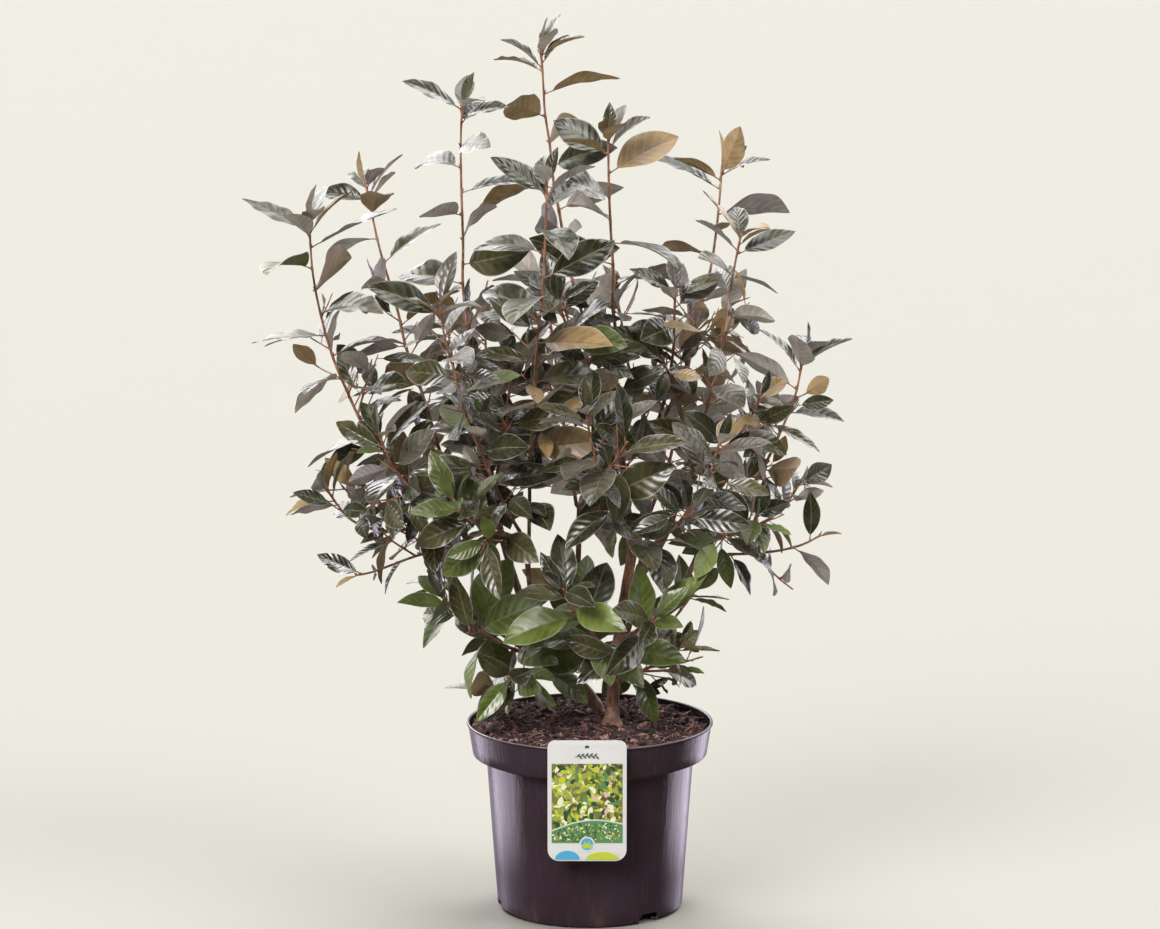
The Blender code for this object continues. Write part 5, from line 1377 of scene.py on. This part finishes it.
def print_card(inks):
    """A plain nursery card's print, without words.

    A grey sprig over a panel of leaves, a green hill with specks, two half discs and a badge.
    """
    rng = random.Random(PRINT_SEED)
    card = Print(inks)
    x0, x1, z0, z1 = PANEL
    card.plate("ink_moss", [(x0, z0), (x1, z0), (x1, z1), (x0, z1)])
    for _ in range(PRINT_LEAVES):
        x, z = rng.uniform(x0, x1), rng.uniform(z0 + 0.016, z1)
        length = rng.uniform(0.004, 0.013)
        shape = leaf_shape(x, z, length, length * rng.uniform(0.34, 0.55), rng.uniform(0, tau))
        shape = clip(shape, *PANEL)
        dark = max(0.0, x / x1) * 22
        names = ("ink_leaf", "ink_lime", "ink_green", "ink_rose", "ink_pale", "ink_deep", "ink_brown")
        ink = rng.choices(names, (24, 20, 12, 4, 17, 12 + dark * 0.8, 10 + dark * 1.6))[0]
        if shape:
            card.plate(ink, shape)
    xs = np.linspace(x0, x1, 25)
    card.ribbon("ink_green", xs, np.full(25, z0), hill(xs))
    for _ in range(PRINT_SPECKS):
        x = rng.uniform(x0 + 0.003, x1 - 0.003)
        z = rng.uniform(z0 + 0.003, hill(x) - 0.003)
        length = rng.uniform(0.0018, 0.0042)
        shape = leaf_shape(x, z, length, length * 0.5, rng.uniform(0, tau), 5)
        ink = rng.choices(("ink_leaf", "ink_deep", "ink_pale", "ink_moss"), (22, 44, 18, 16))[0]
        card.plate(ink, shape, 0.1)
    card.ribbon("ink_white", xs, hill(xs), hill(xs) + 0.0014)
    for ink, middle, half, high in (("ink_blue", -0.022, 0.0135, 0.0100),
                                    ("ink_lime", 0.017, 0.0180, 0.0085)):
        turn = np.linspace(-1, 1, 25)
        card.ribbon(ink, middle + half * turn, np.full(25, FOOT_Z),
                    FOOT_Z + high * np.sqrt(1 - (turn * 0.98) ** 2))
    turn = np.arange(32) * tau / 32
    for ink, radius in (("ink_white", 0.0086), ("ink_blue", 0.0070)):
        card.plate(ink, zip(radius * np.cos(turn), BADGE_Z + radius * np.sin(turn)))
    for angle in (70, 110, 150, 30):
        card.plate("ink_lime", leaf_shape(0.0, -0.1232, 0.0088, 0.0030, radians(angle), 5))
    xs = np.linspace(*SPRIG, 12)
    twig = SPRIG_Z + 0.0012 * np.sin((xs + 0.0135) / 0.026 * pi)
    card.ribbon("ink_grey", xs, twig - SPRIG_THICK, twig + SPRIG_THICK)
    for k in range(1, 11):
        angle = radians(42 if k % 2 else -42)
        card.plate("ink_grey", leaf_shape(xs[k], twig[k], 0.0046, 0.0019, angle, 5))
    card.pile.piece("label_print", list(inks.values()), "label_card", "label", smooth=False)


def dress_card():
    """The card's sheet with its hole, its print and its hook."""
    inks = {name: card_look("label_card" if name == "ink_white" else name, color)
            for name, color in {"ink_white": CARD_WHITE, **INKS}.items()}
    curve = bpy.data.curves.new("card", "CURVE")
    curve.dimensions, curve.fill_mode = "2D", "BOTH"
    curve.extrude, curve.bevel_depth = CARD_THICK / 2 - CARD_BEVEL, CARD_BEVEL
    curve.bevel_resolution = 2
    turns = [tau * k / 28 for k in range(28)]
    hole = [(CARD_HOLE_R * cos(a), CARD_HOLE_R * sin(a) - CARD_HOLE_DROP) for a in turns]
    outline, half = [], CARD_WIDTH / 2
    top, foot = CARD_TOP_CORNER, CARD_FOOT_CORNER
    for x, z, radius, start in ((-half + top, -top, top, 180), (half - top, -top, top, 90),
                                (half - foot, -CARD_HEIGHT + foot, foot, 0),
                                (-half + foot, -CARD_HEIGHT + foot, foot, -90)):
        for k in range(11):
            angle = radians(start - 90 * k / 10)
            outline.append(((x + radius * cos(angle)) * (1 - CARD_BEVEL / half), z + radius * sin(angle)))
    for row in (outline, hole):
        spline = curve.splines.new("POLY")
        spline.points.add(len(row) - 1)
        for point, (x, z) in zip(spline.points, row):
            point.co = (x, z, 0, 1)
        spline.use_cyclic_u = True
    holder = bpy.data.objects.new("card_outline", curve)
    bpy.context.scene.collection.objects.link(holder)
    mesh = made_mesh("label_sheet", holder)
    bpy.data.objects.remove(holder, do_unlink=True)
    mesh.transform(Matrix.Translation((CARD_X, -RIM_R - GAP - CARD_THICK / 2, CARD_TOP_Z))
                   @ Matrix.Rotation(radians(90), 4, "X"))
    work = bmesh.new()
    work.from_mesh(mesh)
    bmesh.ops.remove_doubles(work, verts=work.verts, dist=0.000004)
    bmesh.ops.recalc_face_normals(work, faces=work.faces)
    bmesh_into(work, mesh)
    mesh.materials.clear()
    mesh.materials.append(inks["ink_white"])
    crease(mesh, 25)
    piece("label_sheet", mesh, "label_card", "label")
    print_card(inks)
    dress_hook(inks["ink_white"])


def dress_hook(look_white):
    """The strap behind the card: over the rim and down inside it, with rounded bends."""
    thick, bend = HOOK_THICK * HOOK_SLIM, HOOK_BEND
    bridge_z = POT_HEIGHT + GAP + HOOK_THICK / 2
    inside_r = (band_radius(bridge_z - HOOK_DROP) - WALL) * cos(pi / POT_STEPS) - GAP
    drop_y = -sqrt(inside_r ** 2 - (HOOK_WIDTH / 2 - CARD_X) ** 2) + HOOK_THICK / 2
    angles = [radians(a) for a in range(0, 91, 15)]
    path = [(-RIM_R - GAP - CARD_THICK / 2, bridge_z),
            *((drop_y - bend + bend * sin(a), bridge_z - bend + bend * cos(a)) for a in angles),
            (drop_y, bridge_z - HOOK_DROP)]
    outer, inner = [], []
    for k, (y, z) in enumerate(path):
        a, b = path[max(0, k - 1)], path[min(len(path) - 1, k + 1)]
        away = Vector((a[1] - b[1], b[0] - a[0])).normalized() * (thick / 2)
        outer.append((y + away.x, z + away.y))
        inner.append((y - away.x, z - away.y))
    work = bmesh.new()
    ring = outer + inner[::-1]
    count = len(ring)
    sides = [[work.verts.new((x, y, z)) for y, z in ring]
             for x in (CARD_X - HOOK_WIDTH / 2, CARD_X + HOOK_WIDTH / 2)]
    for k in range(count):
        n = (k + 1) % count
        work.faces.new((sides[0][k], sides[0][n], sides[1][n], sides[1][k]))
    for side in sides:
        for k in range(len(path) - 1):
            work.faces.new((side[k], side[k + 1], side[count - 2 - k], side[count - 1 - k]))
    bmesh.ops.recalc_face_normals(work, faces=work.faces)
    sharp = [edge for edge in work.edges if edge.calc_face_angle(0) > radians(50)]
    bmesh.ops.bevel(work, geom=sharp, offset=0.0002, segments=2, affect="EDGES")
    mesh = bmesh_into(work, bpy.data.meshes.new("label_hook"))
    mesh.materials.append(look_white)
    crease(mesh, 30)
    piece("label_hook", mesh, "label_card", "label")


# Camera, floor and lights
PITCH, CAMERA_AIM, CAMERA_FAR, LENS = radians(10.7536), Vector((-0.0112, 0, 0.5111)), 6.0, 165.27
FLOOR_COLOR, FLOOR_REACH, FLOOR_DROP = (0.433, 0.421, 0.372), 40, 0.0005
KEY_LIGHT, KEY_WAY, KEY_SPREAD = 2.4, (0.45, 0.9, -0.75), radians(30)

# Light by direction: the low front and back, the softboxes over them, and below the floor's level,
# which only gloss sees, dim ground with lilac strips, given by their edges in degrees from the front
# and their shares of the strips' light
LOW_FRONT, LOW_BACK = 0.06, 0.30
# Softboxes: where each stands, the half widths of its even and its whole patch in degrees, its light
SOFTBOXES = (((-0.45, -0.62, 0.64), 11, 19, 7.3), ((0.66, -0.38, 0.65), 10, 18, 5.4),
             ((-0.42, 0.78, 0.46), 16, 30, 4.4), ((0.52, 0.72, 0.46), 14, 28, 4.4),
             ((0.05, 0.15, 1.0), 14, 26, 3.9))
GROUND, STRIP_LIGHT, STRIP_COLOR = (0.060, 0.050, 0.052), 3.4, (0.90, 0.81, 1.0)
STRIPS = ((-180, -144, 0.16), (-144, -91, 1.0), (106, 154, 0.9), (154, 176, 0.14), (176, 200, 0.6))
STRIP_SOFT, STRIP_FOOT, STRIP_TOP = radians(1.5), (-0.42, -0.34), (-0.16, -0.13)


def add_object(name, data):
    obj = bpy.data.objects.new(name, data)
    bpy.context.scene.collection.objects.link(obj)
    return obj


def make_camera():
    forward = Vector((0, cos(PITCH), -sin(PITCH)))
    data = bpy.data.cameras.new("camera")
    data.sensor_width, data.lens = 36, LENS
    camera = add_object("camera", data)
    camera.location = CAMERA_AIM - forward * CAMERA_FAR
    camera.rotation_euler = forward.to_track_quat("-Z", "Y").to_euler()
    bpy.context.scene.camera = camera


def make_floor():
    look = start_look("floor", 0.9)
    base = look.mix(look.noise(3, 3), [c * 0.99 for c in FLOOR_COLOR], FLOOR_COLOR)
    look.fill(look.shader, {"Base Color": base})
    mesh = bpy.data.meshes.new("floor")
    corners = [(x * FLOOR_REACH, y * FLOOR_REACH, 0) for x, y in ((-1, -1), (1, -1), (1, 1), (-1, 1))]
    mesh.from_pydata(corners, [], [(0, 1, 2, 3)])
    mesh.materials.append(look.owner)
    floor = add_object("floor", mesh)
    floor.location.z = -FLOOR_DROP
    # the pot's gloss shows a dark studio, not the floor
    floor.visible_glossy = False
    return floor


def make_lights(floor):
    look = Look(bpy.data.worlds.new("studio"), "Background")
    ways = look.node("TexCoord", {})["Generated"]
    parts = look.node("SeparateXYZ", {0: ways})
    x, y, z = (parts[axis] for axis in "XYZ")
    above = look.ramp(y, -0.3, 0.6, LOW_FRONT, LOW_BACK)
    for way, inner, outer, light in SOFTBOXES:
        turn = look.vector("DOT_PRODUCT", {0: ways, 1: Vector(way).normalized()}, "Value")
        patch = look.ramp(turn, cos(radians(outer)), cos(radians(inner)), 0.0, light)
        above = look.math("ADD", above, patch)
    azimuth = look.math("ARCTAN2", x, look.math("MULTIPLY", y, -1.0))
    strips = None
    for first, last, share in STRIPS:
        first, last = radians(first), radians(last)
        begun = look.ramp(azimuth, first - STRIP_SOFT, first + STRIP_SOFT, 0.0, share)
        going = look.ramp(azimuth, last - STRIP_SOFT, last + STRIP_SOFT, 1.0, 0.0)
        band = look.math("MULTIPLY", begun, going)
        strips = look.math("ADD", strips, band) if strips else band
    upright = look.math("MULTIPLY", look.ramp(z, *STRIP_FOOT, 0.0, STRIP_LIGHT),
                        look.ramp(z, *STRIP_TOP, 1.0, 0.0))
    lilac = look.vector("SCALE", {0: STRIP_COLOR, "Scale": look.math("MULTIPLY", strips, upright)})
    below = look.vector("ADD", {0: lilac, 1: GROUND})
    sky = look.node("CombineXYZ", {0: above, 1: above, 2: above})[0]
    look.fill(look.shader, {"Color": look.mix(look.ramp(z, -0.02, 0.02), below, sky)})
    bpy.context.scene.world = look.owner
    bpy.context.scene.view_settings.view_transform = "Standard"
    data = bpy.data.lights.new("key", "SUN")
    data.energy, data.angle = KEY_LIGHT, KEY_SPREAD
    key = add_object("key", data)
    key.rotation_euler = Vector(KEY_WAY).to_track_quat("-Z", "Y").to_euler()
    # the key leaves out the floor, which so stays even
    unlit = bpy.data.collections.new("unlit")
    unlit.objects.link(floor)
    unlit.collection_objects[0].light_linking.link_state = "EXCLUDE"
    key.light_linking.receiver_collection = unlit


def main():
    make_camera()
    floor = make_floor()
    limbs = grow_limbs()
    masses, space = settle(limbs, grow(limbs))
    drops = grow_drops(limbs, space)
    looks = make_leaf_looks()
    trunk, *barks = (bark_look(name, *row) for name, row in BARKS.items())
    for place, (name, limb) in enumerate(limbs.items()):
        twigs, leaves = spur_growth(space, *limb, place)
        if leaves:
            dress_spurs(name, place, twigs, leaves, looks, barks)
    for place, (name, (twigs, hosts, leaves)) in enumerate(masses.items()):
        fine_twigs, fine_leaves, tuft = fine_growth(space, place, twigs, hosts)
        drop_twigs, drop_leaves = drops.get(name, ([], []))
        dress_mass(limbs, place, twigs + drop_twigs, leaves + tuft + drop_leaves, fine_twigs, fine_leaves,
                   looks, barks)
    dress_limbs(limbs, trunk, barks[0])
    dress_compost()
    dress_pot()
    dress_card()
    make_lights(floor)


main()
